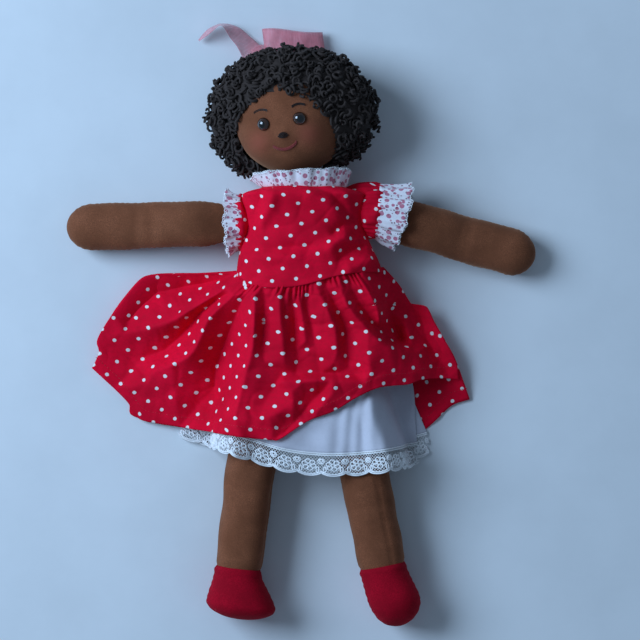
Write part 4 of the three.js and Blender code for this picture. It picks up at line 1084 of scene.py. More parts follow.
def stitch_tree(name):
    """A row of running stitches."""
    def one(tree, inputs):
        bead = {"Segments": 6, "Rings": 4, "Radius": 1.0}
        shape = node(tree, "GeometryNodeMeshUVSphere", bead).outputs[0]
        size = {0: maths(tree, "MULTIPLY", inputs["Pitch"], 0.36), 1: inputs["Radius"], 2: inputs["Radius"]}
        return shape, node(tree, "ShaderNodeCombineXYZ", size).outputs[0]

    return row_tree(name, {"Radius": "Float"}, one)


def picot_tree(name):
    """A row of small thread loops along a lace edge."""
    def one(tree, inputs):
        loop = node(tree, "GeometryNodeCurvePrimitiveCircle", {"Resolution": 9, "Radius": 1.0}).outputs[0]
        section = node(tree, "GeometryNodeCurvePrimitiveCircle", {"Resolution": 4, "Radius": 0.3}).outputs[0]
        shape = node(tree, "GeometryNodeCurveToMesh", {"Curve": loop, "Profile Curve": section}).outputs[0]
        size = {k: inputs["Radius"] for k in range(3)}
        return shape, node(tree, "ShaderNodeCombineXYZ", size).outputs[0]

    return row_tree(name, {"Radius": "Float"}, one)


def curl_tree(name):
    """Yarn curls over a surface, each one of three spirals picked at random."""
    tree, inputs = geometry_tree(name, {
        "Spacing": "Float", "Curl Radius": "Float", "Yarn Radius": "Float", "Seed": "Int",
        "Material": "Material",
    })
    ring = {"Resolution": 4, "Radius": inputs["Yarn Radius"]}
    section = node(tree, "GeometryNodeCurvePrimitiveCircle", ring).outputs[0]
    kinds = node(tree, "GeometryNodeJoinGeometry")
    for turns, inner, rise in ((1.5, 0.55, 1.2), (1.15, 0.9, 0.7), (2.0, 0.35, 1.9)):
        spiral = node(tree, "GeometryNodeCurveSpiral", {
            "Resolution": 8,
            "Rotations": turns,
            "Start Radius": inputs["Curl Radius"],
            "End Radius": maths(tree, "MULTIPLY", inputs["Curl Radius"], inner),
            "Height": maths(tree, "MULTIPLY", inputs["Curl Radius"], rise),
        }).outputs[0]
        tube = {"Curve": spiral, "Profile Curve": section, "Fill Caps": True}
        yarn = node(tree, "GeometryNodeCurveToMesh", tube).outputs[0]
        single = node(tree, "GeometryNodeGeometryToInstance", {0: yarn}).outputs[0]
        tree.links.new(single, kinds.inputs[0])
    seed = inputs["Seed"]
    spots = node(tree, "GeometryNodeDistributePointsOnFaces", {
        "Mesh": inputs["Geometry"], "Distance Min": inputs["Spacing"], "Density Max": 90000.0, "Seed": seed,
    }, distribute_method="POISSON")
    normal = {"Vector": spots.outputs["Normal"]}
    upright = node(tree, "FunctionNodeAlignRotationToVector", normal, axis="Z").outputs[0]
    lean = {"Min": (-0.9, -0.9, 0), "Max": (0.9, 0.9, TURN), "Seed": seed}
    loose = node(tree, "FunctionNodeRandomValue", lean, data_type="FLOAT_VECTOR").outputs[0]
    both = {0: upright, 1: loose}
    turned = node(tree, "FunctionNodeRotateRotation", both, rotation_space="LOCAL").outputs[0]
    limits = {"Min": 0.8, "Max": 1.2, "Seed": seed}
    sizes = node(tree, "FunctionNodeRandomValue", limits, data_type="FLOAT")
    each = {
        "Points": spots.outputs[0],
        "Instance": kinds.outputs[0],
        "Pick Instance": True,
        "Rotation": turned,
        "Scale": next(socket for socket in sizes.outputs if socket.enabled),
    }
    return end_tree(tree, node(tree, "GeometryNodeInstanceOnPoints", each).outputs[0], inputs["Material"])


# Handing pieces to the frame

def dress_piece(made, material, body, nodes=()):
    """Gives a piece its material and lets it ride on a body; a piece given two bodies has its place baked
    into its mesh.
    """
    if material is not None:
        made.data.materials.clear()
        made.data.materials.append(material)
    if isinstance(body, str):
        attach(made, body)
    else:
        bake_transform(made)
    if nodes:
        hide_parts(*nodes)
    return made


WITH_SKIRT = ("torso", "skirt", SKIRT_BEND)


def joined(name, lines):
    """An object of edges only, along several lines of points."""
    points, edges = [], []
    for line in lines:
        first = len(points)
        points.extend(np.asarray(line, float).tolist())
        edges.extend((k, k + 1) for k in range(first, len(points) - 1))
    return mesh_object(name, points, edges=edges)


def threads(name, lines, radius, material, sides=5):
    return grow(joined(name, lines), tree_once(thread_tree), Radius=radius, Sides=sides, Material=material)


def stitches(name, lines, material):
    settings = dress_settings()
    return grow(joined(name, lines), tree_once(stitch_tree), Pitch=settings.stitch_pitch,
                Radius=settings.stitch_radius, Material=material)


# Stuffed pieces

def torso_form(y):
    """Half the torso's width, half its depth and the height of its middle."""
    y = np.asarray(y, float)
    dome = np.sqrt(np.maximum(NECK_RADIUS**2 - (y - NECK[1]) ** 2, 0.01))
    dome = np.where(y > NECK_BASE, dome, np.inf)
    width, depth = (np.minimum(along(stations, y), dome) for stations in (TORSO_WIDTHS, TORSO_DEPTHS))
    return width, depth, along(TORSO_HEIGHTS, y)


def ring_angles(count):
    return (np.arange(count) + 0.5) / count * TURN


def oval_rings(half_width, half_depth, height, floor, count, mid=0.0):
    """Sections of a stuffed form: u across and z up for each ring, cut flat at the floor."""
    angle = ring_angles(count)
    u = np.reshape(mid, (-1, 1)) + half_width[:, None] * bulge(np.cos(angle))
    z = np.maximum(height[:, None] + half_depth[:, None] * bulge(np.sin(angle)), floor)
    return angle, u, z


def seamed(rings, angle, seams, seed, lump=0.45):
    """A stuffed form's rings with lumps of filling, and puckered grooves along seams at the given angles."""
    middle = rings.mean(axis=1, keepdims=True)
    outwards = rings - middle
    radius = np.linalg.norm(outwards, axis=-1, keepdims=True)
    outwards = outwards / np.maximum(radius, 1e-6)
    run = run_along(middle[:, 0])[:, None]
    shift = lump * waver(rings, LUMP_WAVE, seed)
    for seam in seams:
        gap = np.abs((angle - seam + math.pi) % TURN - math.pi)[None] * radius[..., 0]
        pull = 0.5 + 0.5 * np.sin(run / PUCKER_PITCH * TURN + 1.3 * waver(rings, 15, seed + 1))
        for strength, (depth, width) in ((1, SEAM_GROOVE), (pull, SEAM_PUCKER)):
            shift = shift - depth * strength * hill(gap, width)
    size = np.clip(radius[..., 0] / 8, 0, 1)
    return rings + outwards * (shift * size)[..., None]


def make_torso():
    y = np.concatenate([np.linspace(*stretch) for stretch in TORSO_RINGS])
    width, depth, height = torso_form(y)
    angle, u, z = oval_rings(width, depth, height, TORSO_FLOOR, BODY_POINTS)
    rings = np.stack([u, np.broadcast_to(y[:, None], u.shape), z], axis=-1)
    made = stuffed_object("body_cloth", seamed(rings, angle, SIDE_SEAMS, SEEDS["torso"], 0.2))
    dress_piece(made, velveteen(), "torso", ["torso_skin", "torso_filling"])


def arm_rings(side):
    sign = SIDES[side]
    droop = math.radians(ARM_DROOP[side])
    distance = np.concatenate([np.linspace(ARM_ROOT, ARM_LENGTH - HAND_ROUND, 60),
                               tip_steps(ARM_LENGTH, HAND_ROUND, 22, 0.995)])
    tip = rounded(ARM_LENGTH - distance, HAND_ROUND)
    width, depth = (along(stations, distance) * tip for stations in (ARM_WIDTHS, ARM_DEPTHS))
    height = lerp(SHOULDER_Z, HAND_Z, ease(distance, 0, ARM_FALL))
    angle, y, z = oval_rings(width, depth, height, 0, LIMB_POINTS)
    slant = -sign * math.tan(droop)
    x = distance[:, None] + y * slant * (1 - ease(distance, 0, 30))[:, None]
    rings = seamed(np.stack([x, y, z], axis=-1), angle, SIDE_SEAMS, SEEDS["arm"] + sign)
    creases = hill(distance - WRIST - 3 * sign, 4)[:, None] + 0.7 * hill(distance - WRIST - 8, 2.6)[:, None]
    rings[..., 2] -= 0.9 * creases * np.clip(np.sin(angle), 0, 1)
    pivot = JOINTS[f"shoulder_{side}_swing"] / MM * [1, 1, 0]
    return placed(rings, pivot, -droop if sign > 0 else math.pi + droop)


def make_arms():
    for side in SIDES:
        made = stuffed_object(f"arm_{side}_cloth", np.maximum(arm_rings(side), [-np.inf, -np.inf, 0]))
        nodes = [f"arm_{side}_skin", f"arm_{side}_filling"]
        dress_piece(made, velveteen(), f"arm_{side}", nodes)


def leg_frame(rings, side):
    pivot = JOINTS[f"leg_{side}_spread"] / MM * [1, 1, 0]
    return placed(rings, pivot, SIDES[side] * math.radians(LEG_SPLAY[side]))


def make_legs():
    end = LEG_LENGTH + LEG_TUCK
    distance = np.concatenate([[0.5, 1.6, 3, 5, 8, 11], np.linspace(14, end, 60)])
    tuck = 1 - 0.09 * ease(distance, LEG_LENGTH - 4, end)
    width = along(LEG_WIDTHS, distance) * rounded(distance, LEG_TOP) * tuck
    depth = along(LEG_DEPTHS, distance)
    height = lerp(SEAT_Z, LEG_LIFT + depth, ease(distance, 0, 50))
    angle, x, z = oval_rings(width, depth * tuck, height, 0, LIMB_POINTS)
    y = np.broadcast_to(LEG_TOP - distance[:, None], x.shape)
    creases = sum(hill(distance - at, 2.2) for at in LEG_CREASES)[:, None]
    for side, sign in SIDES.items():
        rings = seamed(np.stack([x, y, z], axis=-1), angle, LEG_SEAMS[side], SEEDS["leg"] + sign, 0.5)
        rings[..., 2] -= 0.5 * creases * np.clip(np.sin(angle + 0.5), 0, 1)
        made = stuffed_object(f"leg_{side}_cloth", leg_frame(rings, side))
        nodes = [f"leg_{side}_skin", f"leg_{side}_filling"]
        dress_piece(made, velveteen(), f"leg_{side}", nodes)


def make_shoes():
    for side, sign in SIDES.items():
        long, round_tip = SHOE_LENGTH[side], SHOE_ROUND[side]
        distance = np.concatenate([np.linspace(-0.6, long - round_tip, 26),
                                   tip_steps(long, round_tip, 26, 0.997)])
        widen = ease(distance, 0, long - round_tip / 2)
        rim = 1 - 0.05 * hill(distance + 0.6, 1.2) + 0.02 * hill(distance - 2, 2)
        toe = rounded(long - distance, round_tip)
        width = lerp(ANKLE_WIDTH, SHOE_WIDTH[side], widen) / 2 * toe * rim
        depth = lerp(ANKLE_DEPTH, SHOE_DEPTH, widen) / 2 * toe * rim
        height = lerp(LEG_LIFT + ANKLE_DEPTH / 2, SHOE_DEPTH / 2 - 0.5, widen)
        angle, x, z = oval_rings(width, depth, height, 0, BODY_POINTS, SHOE_LEAN[side] * widen)
        y = np.broadcast_to(LEG_TOP - LEG_LENGTH - distance[:, None], x.shape)
        rings = seamed(np.stack([x, y, z], axis=-1), angle, SIDE_SEAMS, SEEDS["shoe"] + sign, 0.35)
        rings[..., 2] = np.maximum(rings[..., 2], 0)
        made = stuffed_object(f"shoe_{side}_felt", leg_frame(rings, side))
        nodes = [f"shoe_{side}", f"shoe_{side}_filling"]
        dress_piece(made, shoe_felt(), f"leg_{side}", nodes)


# Head

def face_relief(x, y):
    """How far the stuffed face stands out from a plain oval, at places on its front."""
    x = x - FACE_SHIFT
    y = y - EYE_HEIGHT
    relief = 2.0 * hill(np.hypot(x, y + NOSE_DROP), 4.2)
    relief += 0.8 * hill(np.hypot(x, (y + CHIN_DROP) * 0.8), 9)
    for side in SIDES.values():
        for out, drop, reach, rise in FACE_SIDES:
            relief += rise * hill(np.hypot(x - side * out, y + drop), reach)
    return relief


def face_point(x, y, lift=0.0):
    """A place on the face's front, and the way out of it, in the head's frame."""
    x, y = np.asarray(x, float) + FACE_SHIFT, np.asarray(y, float)
    z = HEAD_HALF[2] * np.sqrt(np.maximum(1 - (x / HEAD_HALF[0]) ** 2 - (y / HEAD_HALF[1]) ** 2, 0.01))
    point = np.stack([x, y, z], axis=-1)
    out = normalised(point / HEAD_HALF**2)
    return point + out * (face_relief(x, y) + lift)[..., None], out


def make_head():
    unit = ball_grid(np.linspace(0.02, math.pi - 0.02, 90), 120)
    points = unit * HEAD_HALF
    out = normalised(points / HEAD_HALF**2)
    front = ease(unit[..., 2], 0.1, 0.4)
    shift = front * face_relief(points[..., 0], points[..., 1]) + 0.25 * waver(points, 30, SEEDS["head"])
    made = stuffed_object("head_cloth", on_head(points + out * shift[..., None]))
    x, y = points[..., 0] - FACE_SHIFT, points[..., 1] - (EYE_HEIGHT - BLUSH_DROP)
    cheeks = sum(hill(np.hypot(x - side * CHEEK_OUT, y), 7.5) for side in SIDES.values()) * front
    point_values(made, "blush", np.append(cheeks.ravel(), [0, 0]))
    dress_piece(made, velveteen(), "head", ["head_skin", "head_filling"])


def nose_lines():
    """Upright stitches side by side, which make an oval."""
    lines = []
    for share in np.linspace(-1, 1, NOSE_STITCHES):
        reach = NOSE_HALF[1] * math.sqrt(max(1 - share**2, 0.05))
        down = EYE_HEIGHT - NOSE_DROP + np.linspace(reach, -reach, 5) - 0.5 * share**2
        lines.append(face_point(np.full(5, NOSE_HALF[0] * share), down, 0.15)[0])
    return lines


def brow_lines():
    """Two arched threads over each eye."""
    lines = []
    t = np.linspace(-1, 1, 9)
    for side in SIDES.values():
        across = side * (EYE_SPACING / 2 + 0.5) + BROW_HALF * t
        for row in range(2):
            lines.append(face_point(across, EYE_HEIGHT + BROW_RISE + row * 0.8 - 1.3 * t**2, 0.2)[0])
    return lines


def mouth_lines():
    """Two rows of slanting stitches along a smile."""
    lines = []
    slant = np.linspace(-0.25, 0.25, 6)
    for k in range(MOUTH_STITCHES):
        start = k / MOUTH_STITCHES * 2 - 1
        t = np.linspace(start - 0.02, start + 0.2, 6)
        for row in (-0.45, 0.45):
            down = EYE_HEIGHT - MOUTH_DROP + 3.0 * t**2 + row + slant
            lines.append(face_point(MOUTH_HALF * np.clip(t, -1, 1), down, 0.25)[0])
    return lines


def make_face():
    settings = body_settings()
    stitched = {
        "nose_and_brow_threads": (nose_lines() + brow_lines(), thread("feature thread", settings.features)),
        "mouth_threads": (mouth_lines(), thread("mouth thread", settings.mouth)),
    }
    for name, (lines, material) in stitched.items():
        made = threads(name, [on_head(line) for line in lines], settings.thread_radius, material)
        dress_piece(made, None, "head")


def make_eyes():
    around = np.arange(EYE_POINTS) / EYE_POINTS * TURN
    wide, high = EYE_PROFILE[:, :1], EYE_PROFILE[:, 1:]
    rings = np.stack([wide * np.cos(around), wide * np.sin(around), high + 0 * around], axis=-1)
    share = np.repeat(wide / EYE_RADIUS * np.sign(high + 0.7), EYE_POINTS)
    for side, sign in SIDES.items():
        middle, out = face_point(np.array(sign * EYE_SPACING / 2), np.array(float(EYE_HEIGHT)))
        turn = np.array(Vector((0, 0, 1)).rotation_difference(Vector(out)).to_matrix())
        made = stuffed_object(f"eye_{side}_dome", on_head(rings @ turn.T + middle + out * 0.3))
        point_values(made, "ring", np.append(share, [0, 1]))
        dress_piece(made, eye_plastic(), "head", [f"eye_{side}"])


def hair_point(unit):
    """A point of the hair's base in a direction from the head's middle, and how far it is from the face."""
    skin = unit / np.linalg.norm(unit / HEAD_HALF, axis=-1, keepdims=True)
    outer = unit / np.linalg.norm(unit / (HAIR_HALF - CURL_ROOM), axis=-1, keepdims=True) + HAIR_MID
    flat = np.hypot((skin[..., 0] - FACE_SHIFT) / FACE_HALF[0], (skin[..., 1] - FACE_DROP) / FACE_HALF[1])
    beyond = (flat - 1) * FACE_HALF[0]
    behind = np.minimum(np.maximum(beyond, -1) - 1.3 * skin[..., 2], 40)
    beyond = np.where(skin[..., 2] > 0, beyond, behind)
    return lerp(skin * 1.012, outer, ease(beyond, -1, 13)[..., None]), beyond


def make_hair():
    settings = body_settings()
    unit = ball_grid(np.linspace(0.03, math.pi * 0.86, 60), 110)
    points, beyond = hair_point(unit)
    points = points + 0.8 * waver(points, 12, SEEDS["hair"])[..., None] * unit
    points[..., 2] = np.maximum(points[..., 2], 0.6 - NECK[2])
    kept = ((beyond > -1.5) & (points[..., 1] > HAIR_END)).ravel()
    faces = [face for face in grid_faces(*beyond.shape, True) if kept[list(face)].all()]
    points = on_head(points).reshape(-1, 3)
    upper = [face for face in faces if points[list(face), 2].min() > CURL_FLOOR]
    base = mesh_object("hair_base", points, faces)
    curls = mesh_object("hair_curls", points, upper)
    middle = Vector(on_head(np.zeros(3)) * MM)

    def turn_from_head(shape):
        if sum((f.calc_center_median() - middle).dot(f.normal) for f in shape.faces) < 0:
            bmesh.ops.reverse_faces(shape, faces=shape.faces)

    for made in (base, curls):
        edit_mesh(made, drop_loose, turn_outward, turn_from_head)
    yarn = thread("yarn", settings.yarn, 900.0)
    grow(curls, tree_once(curl_tree), **{
        "Spacing": settings.curl_spacing, "Curl Radius": settings.curl_radius,
        "Yarn Radius": settings.yarn_radius, "Seed": SEEDS["curls"], "Material": yarn,
    })
    for vertex in curls.data.vertices:
        vertex.co.z = max(vertex.co.z, CURL_LOW * MM)
    dress_piece(base, yarn, "head", ["hair"])
    dress_piece(curls, None, "head", ["hair"])


# Ribbon

def strip(path, across, width):
    """A ribbon along points, with its width along given directions, and its UV points."""
    share = np.linspace(-0.5, 0.5, 11)
    points = path[:, None] + normalised(across)[:, None] * (share[None, :, None] * width[:, None, None])
    uv = np.stack(np.broadcast_arrays(share[None] * width[:, None], run_along(path)[:, None]), axis=-1)
    return points, uv


def ribbon_piece(node_name, points, uv):
    made = grid_object(f"{node_name}_cloth", on_head(points + BOW), uv)
    thicken(made, THICKNESS["ribbon"])
    return dress_piece(made, sheer_ribbon(), "head", [node_name])


def make_ribbon_loop():
    t = np.linspace(0, 1, RIBBON_STEPS)
    swing = (t * 2 - 1) * math.pi * 0.97
    x = LOOP_MID + LOOP_HALF[0] * np.cos(swing) - 3.4 * (1 - np.cos(swing)) ** 2 / 4
    path = np.stack([x, 0 * t, LOOP_HALF[1] * np.sin(swing) + 0.5 * np.sin(9 * t)], axis=-1)
    points, uv = strip(path, np.tile([0.02, 1.0, 0.0], (len(t), 1)), np.full(len(t), RIBBON_WIDTH))
    points[..., 2] += 0.5 * waver(points, 14, SEEDS["ribbon"])
    points[..., 1] += 0.8 * np.sin(points[..., 0] / 7) - LOOP_LEAN * (points[..., 0] - LOOP_MID)
    made = ribbon_piece("ribbon_loop", points, uv)


def make_ribbon_tail():
    t = np.linspace(0, 1, RIBBON_STEPS)
    path = spline(TAIL_WAY)(t)
    run = np.gradient(path, axis=0)
    side = normalised(np.stack([-run[:, 1], run[:, 0], 0 * t], axis=-1))
    twist = np.radians(along(TAIL_TWISTS, t))[:, None]
    across = side * np.cos(twist) + np.array([0, 0, 1]) * np.sin(twist)
    points, uv = strip(path, across, along(TAIL_WIDTHS, t))
    points[..., 2] = np.maximum(points[..., 2], 0.5 - (NECK[2] + BOW[2]))
    made = ribbon_piece("ribbon_tail", points, uv)


def make_ribbon_knot():
    place = np.linspace(-1, 1, 25)[:, None]
    angle = np.arange(48) / 48 * TURN
    radius = KNOT_RADIUS * (1 - 0.22 * place**2) * (1 + 0.07 * np.sin(7 * angle + 2 * place))
    x = KNOT_HALF * place + 0 * angle
    rings = np.stack([x, radius * 1.5 * np.cos(angle), radius * np.sin(angle)], axis=-1)
    made = stuffed_object("ribbon_knot_cloth", on_head(rings + BOW))
    made.data.uv_layers.new(name="cloth")
    dress_piece(made, sheer_ribbon(), "head", ["ribbon_knot"])


# Bodice, frills and sleeves

def waist_y(x):
    """Height of the waist seam on the front at a place across it."""
    line = spline(WAISTLINE)(np.linspace(0, 1, 60))
    return np.interp(x, line[:, 0], line[:, 1])


def shoulder_y(x):
    return np.where(x > 0, SHOULDER_Y["left"], SHOULDER_Y["right"])


def bodice_form(y, margin):
    """The torso's form under cloth that lies a margin outside it, down its sloping shoulders."""
    return torso_form(y - SHOULDER_SLOPE * margin)


def bodice_grid(share, angles, floor):
    """Points of the bodice's cloth over the torso, from the neckline down to the waist seam."""
    front = np.sin(angles) > 0
    across = bulge(np.cos(angles))
    slack = np.where(across > 0, BODICE_SLACK[1], BODICE_SLACK[-1]) * across**2 * np.sign(across)
    bottom = waist_y((TORSO_HALF_WIDTH + BODICE_MARGIN) * across + slack) - SEAM_LAP
    bottom = np.where(front, bottom, lerp(WAIST_Y - SEAM_LAP, bottom, np.abs(across) ** 4))
    y = lerp(BODICE_TOP, bottom, share[:, None])
    width, depth, height = bodice_form(y, BODICE_MARGIN)
    x = (width + BODICE_MARGIN) * across + slack * ease(-y, -6, 30)
    below = height + BACK_FLAT + BODICE_MARGIN - BODICE_EASE - BODICE_CLOTH
    z = height + np.where(front, depth + BODICE_MARGIN, below) * bulge(np.sin(angles))
    z = np.maximum(z, floor(x) + BODICE_CLOTH / 2)
    return np.stack([x, y, z], axis=-1)


def cut_armholes(points, faces):
    """Draws a bodice's points out of its armholes and drops the faces inside them."""
    flat = points.reshape(-1, 3)
    middle = np.stack([shoulder_y(flat[:, 0]), np.full(len(flat), SHOULDER_Z)], axis=-1)
    away = flat[:, 1:] - middle
    distance = np.linalg.norm(away, axis=-1)
    inside = (distance < ARMHOLE) & (np.abs(flat[:, 0]) > ARMHOLE_INNER)
    kept = [face for face in faces if not inside[list(face)].all()]
    out = away / np.maximum(distance, 0.1)[:, None] * ARMHOLE + middle
    flat[:, 1:] = np.where(inside[:, None], out, flat[:, 1:])
    return flat, kept


def bodice_panel(node_name, points):
    uv = cloth_uv(points).reshape(-1, 2)
    flat, faces = cut_armholes(points, grid_faces(*points.shape[:2], False))
    made = mesh_object(f"{node_name}_cloth", flat, faces, uv=uv[np.array(faces).ravel()])
    thicken(edit_mesh(made, drop_loose, drop_thin), THICKNESS["bodice"])
    return dress_piece(made, spotted_cotton(), "torso", [node_name])


def lap_floor(x):
    """Height of the left back where it laps over the right one."""
    return LAP_RISE * (1 - ease(x, LAP / 2 + 2, LAP / 2 + 16))


def make_bodice():
    share = np.linspace(0, 1, BODICE_ROWS)
    points = bodice_grid(share, np.linspace(SEAM_TURN, math.pi - SEAM_TURN, 150), lambda x: -np.inf)
    flat = points[..., :2]
    x, y = flat[..., 0], flat[..., 1]
    front = ease(points[..., 2], BODY_Z, BODY_Z + 14)
    beside = ease(np.abs(y - shoulder_y(x)), ARMHOLE, ARMHOLE + ARMHOLE_FADE)
    clear = 1 - ease(np.abs(x), *ARMHOLE_SIDE) * (1 - beside)
    slack = 0.5 * waver(flat, 18, SEEDS["bodice"]) + 0.5 * creased(flat, 44, SEEDS["bodice creases"])
    folds = BODICE_FOLD_DEPTH * folded(flat, BODICE_FOLDS)
    points[..., 2] += front * clear * (folds + slack + BODICE_FULLNESS)
    lay_over(points, [face_tree(bpy.data.objects["body_cloth"])], GAP["bodice"], 1)
    points[..., 2] += front * 0.6 * ease(share, 0.94, 0.99)[:, None]
    made = bodice_panel("bodice_front", points)
    for side, sign in SIDES.items():
        start = TURN - SEAM_TURN if sign > 0 else math.pi + SEAM_TURN
        angles = np.linspace(start, 1.5 * math.pi - sign * 0.2, 70)
        points = bodice_grid(share, angles, lap_floor if sign > 0 else np.zeros_like)
        points[..., 0] = np.where(sign * points[..., 0] < -LAP / 2, -sign * LAP / 2, points[..., 0])
        if sign < 0:
            points = points[:, ::-1]
        made = bodice_panel(f"bodice_back_{side}", points[::-1])


def scalloped(node_name, points, body):
    """A frill from its grid of points, with a lace edge of small loops along its last row."""
    name = f"{node_name}_cloth"
    made = grid_object(name, points, frill_uv(points), closed=True)
    thicken(made, THICKNESS["frill"])
    dress_piece(made, printed_cotton(), body, [node_name])
    edge = joined(f"{name}_edge", [np.concatenate([points[-1], points[-1, :1]])])
    loops = grow(edge, tree_once(picot_tree), Pitch=PICOT_PITCH * MM, Radius=PICOT_RADIUS * MM,
                 Material=lace_cotton())
    dress_piece(loops, None, body)


def frill_uv(points):
    """A closed frill's UV points, by the length of cloth along its edge and across it."""
    around = np.concatenate([points, points[:, :1]], axis=1)
    run = np.cumsum(np.linalg.norm(np.diff(around, axis=1), axis=-1), axis=1)
    run = np.concatenate([np.zeros((len(run), 1)), run], axis=1)
    run = np.broadcast_to(run[-1:], run.shape)
    down = np.cumsum(np.linalg.norm(np.diff(around, axis=0), axis=-1), axis=0)
    down = np.concatenate([np.zeros((1, down.shape[1])), down])
    return np.stack([run, down], axis=-1)


def make_neck_frill():
    count = NECK_GATHERS * 20
    angle = np.arange(count) / count * TURN
    share = np.linspace(0, 1, 15)[:, None]
    margin = BODICE_EASE + BODICE_CLOTH
    width, depth, height = bodice_form(BODICE_TOP - 0.4, margin)
    front = ease(np.sin(angle), -0.5, 0.5)
    wave = np.sin(NECK_GATHERS * angle + 0.9 * np.sin(3 * angle)) + 0.35 * np.sin(31 * angle + 1)
    flare = lerp(FRILL_FLARE["right"], FRILL_FLARE["left"], ease(np.cos(angle), -1, 1))
    reach = margin + 0.4 + flare * share**0.8 + wave * (0.2 + 0.7 * share)
    x = (width + reach) * np.cos(angle)
    rise = FRILL_HEIGHT * lerp(0.45, 0.8, front) + 0.4 * np.sin(9 * angle) + FRILL_TILT * x
    z = np.maximum(height + (depth + reach) * np.sin(angle), 0.4)
    points = np.stack([x, BODICE_TOP - 0.6 + share * rise, z], axis=-1)
    scalloped("neck_frill", points, ("torso", "head", NECK_BEND))


def body_edge(y, z):
    """How far out the bodice lies at a height along the body and a height over the table."""
    width, depth, height = bodice_form(y, BODICE_MARGIN)
    rise = np.clip(np.abs(z - height) / (depth + BODICE_MARGIN), 0, 1) ** (OVAL_POWER / 2)
    return (width + BODICE_MARGIN) * (1 - rise**2) ** (1 / OVAL_POWER)


def sleeve_rings(side, distance, half_width, half_depth):
    """Rings of a sleeve that turn from the armhole to the arm's own direction."""
    total = SLEEVE_LENGTH[side] + CUFF_LENGTH[side]
    distance = np.asarray(distance, float)[:, None]
    angle = ring_angles(SLEEVE_POINTS)
    droop = math.radians(ARM_DROOP[side]) * ease(distance, 0, total * 0.7)
    height = lerp(SHOULDER_Z, 13, ease(distance, 0, ARM_FALL))
    y = half_width * np.cos(angle)
    z = np.maximum(height + half_depth * np.sin(angle), 0.5)
    x = SLEEVE_START + distance + y * np.sin(droop)
    y = SHOULDER_Y[side] - distance * np.tan(droop / 2) + y
    x, y, z = np.broadcast_arrays(x, y, z)
    ring = SLEEVE_ROUND * np.cos(angle), SLEEVE_ROUND * np.sin(angle)
    seam = body_edge(SHOULDER_Y[side] + ring[0], SHOULDER_Z + ring[1])
    x = lerp(seam - 0.8, x, ease(distance, SLEEVE_ROOT, 6))
    points = np.stack([SIDES[side] * x, y, z], axis=-1)
    return points if SIDES[side] > 0 else points[:, ::-1]


def make_sleeve(side, body):
    long = SLEEVE_LENGTH[side]
    angle = ring_angles(SLEEVE_POINTS)
    distance = np.linspace(SLEEVE_ROOT, long + 0.6, 24)
    share = np.clip(distance / long, 0, 1)[:, None]
    start = ease(distance, SLEEVE_ROOT, 3)[:, None]
    pleats = np.sin(26 * angle + 1.4 * np.sin(5 * angle)) * (0.9 * (1 - share) ** 2 + 0.6 * share**3)
    pleats = pleats + 1.1 * np.sin(7 * angle + 2 * share) * np.sin(share * math.pi)
    puff = 1.5 * np.sin(share * math.pi * 0.85) + pleats * 0.8
    halves = (lerp(SLEEVE_ROUND, half + puff, start) for half in (SLEEVE_HALF_WIDTH, SLEEVE_HALF_DEPTH))
    points = sleeve_rings(side, distance, *halves)
    made = grid_object(f"sleeve_{side}_cloth", points, frill_uv(points), closed=True)
    thicken(made, THICKNESS["sleeve"])
    dress_piece(made, spotted_cotton(), body, [f"sleeve_{side}"])


def make_cuff(side, body):
    long, cuff = SLEEVE_LENGTH[side], CUFF_LENGTH[side]
    angle = ring_angles(SLEEVE_POINTS)
    distance = np.linspace(long - 1.5, long + cuff + 0.5, 16)
    share = np.linspace(0, 1, 16)[:, None]
    wave = np.sin(11 * angle + 1.1 * np.sin(2 * angle)) + 0.4 * np.sin(27 * angle + 2)
    flare = 1.2 + CUFF_FLARE * share**1.2 + wave * (0.3 + 1.3 * share)
    points = sleeve_rings(side, distance, SLEEVE_HALF_WIDTH + flare, SLEEVE_HALF_DEPTH + flare * 0.7)
    lean = CUFF_LEAN * cuff * (np.abs(np.sin(angle)) - 0.6)
    points[..., 0] += SIDES[side] * share * (0.9 * wave + lean)
    scalloped(f"sleeve_frill_{side}", points, body)


def make_sleeves():
    for side, sign in SIDES.items():
        ends = (SLEEVE_START, SLEEVE_START + SLEEVE_LENGTH[side] + CUFF_LENGTH[side])
        bend = [(x * MM * sign, SHOULDER_Y[side] * MM, SHOULDER_Z * MM) for x in ends]
        make_sleeve(side, ("torso", f"arm_{side}", bend))
        make_cuff(side, ("torso", f"arm_{side}", bend))


# Skirt and petticoat

def arch(share, power):
    return (1 - np.abs(share) ** power) ** (1 / power)


def seam_drop(r):
    """Share of the waist's height that a side seam still has at r of the way down."""
    return 1 - ease(r, 0, 0.55)


def skirt_plan(top, right, hem, left):
    """The plan of a panel between its waistline, its right side, its hem and its left side."""
    return patch(*(by_length(spline(edge)) for edge in (
        top, [right[-1], *hem, left[-1]], [top[0], *right], [top[-1], *left])))


def grid_of(columns, rows):
    return np.meshgrid(np.linspace(0, 1, columns), np.linspace(0, 1, rows))


def panel_object(node_name, points, thickness, material):
    made = grid_object(f"{node_name}_cloth", points[::-1], cloth_uv(points)[::-1])
    thicken(made, thickness)
    return dress_piece(made, material, WITH_SKIRT, [node_name])


def above_hem(points):
    """Length of cloth from each point of a panel, but for its last row, down to the hem."""
    return np.cumsum(np.linalg.norm(np.diff(points[::-1], axis=0), axis=-1), axis=0)[::-1]


def hem_line(points):
    """The line across a panel where its hem is stitched."""
    row = np.argmin(np.abs(above_hem(points)[::-1] - HEM_DEPTH), axis=0)
    return points[::-1][row + 1, np.arange(points.shape[1])] + [0, 0, STITCH_LIFT]


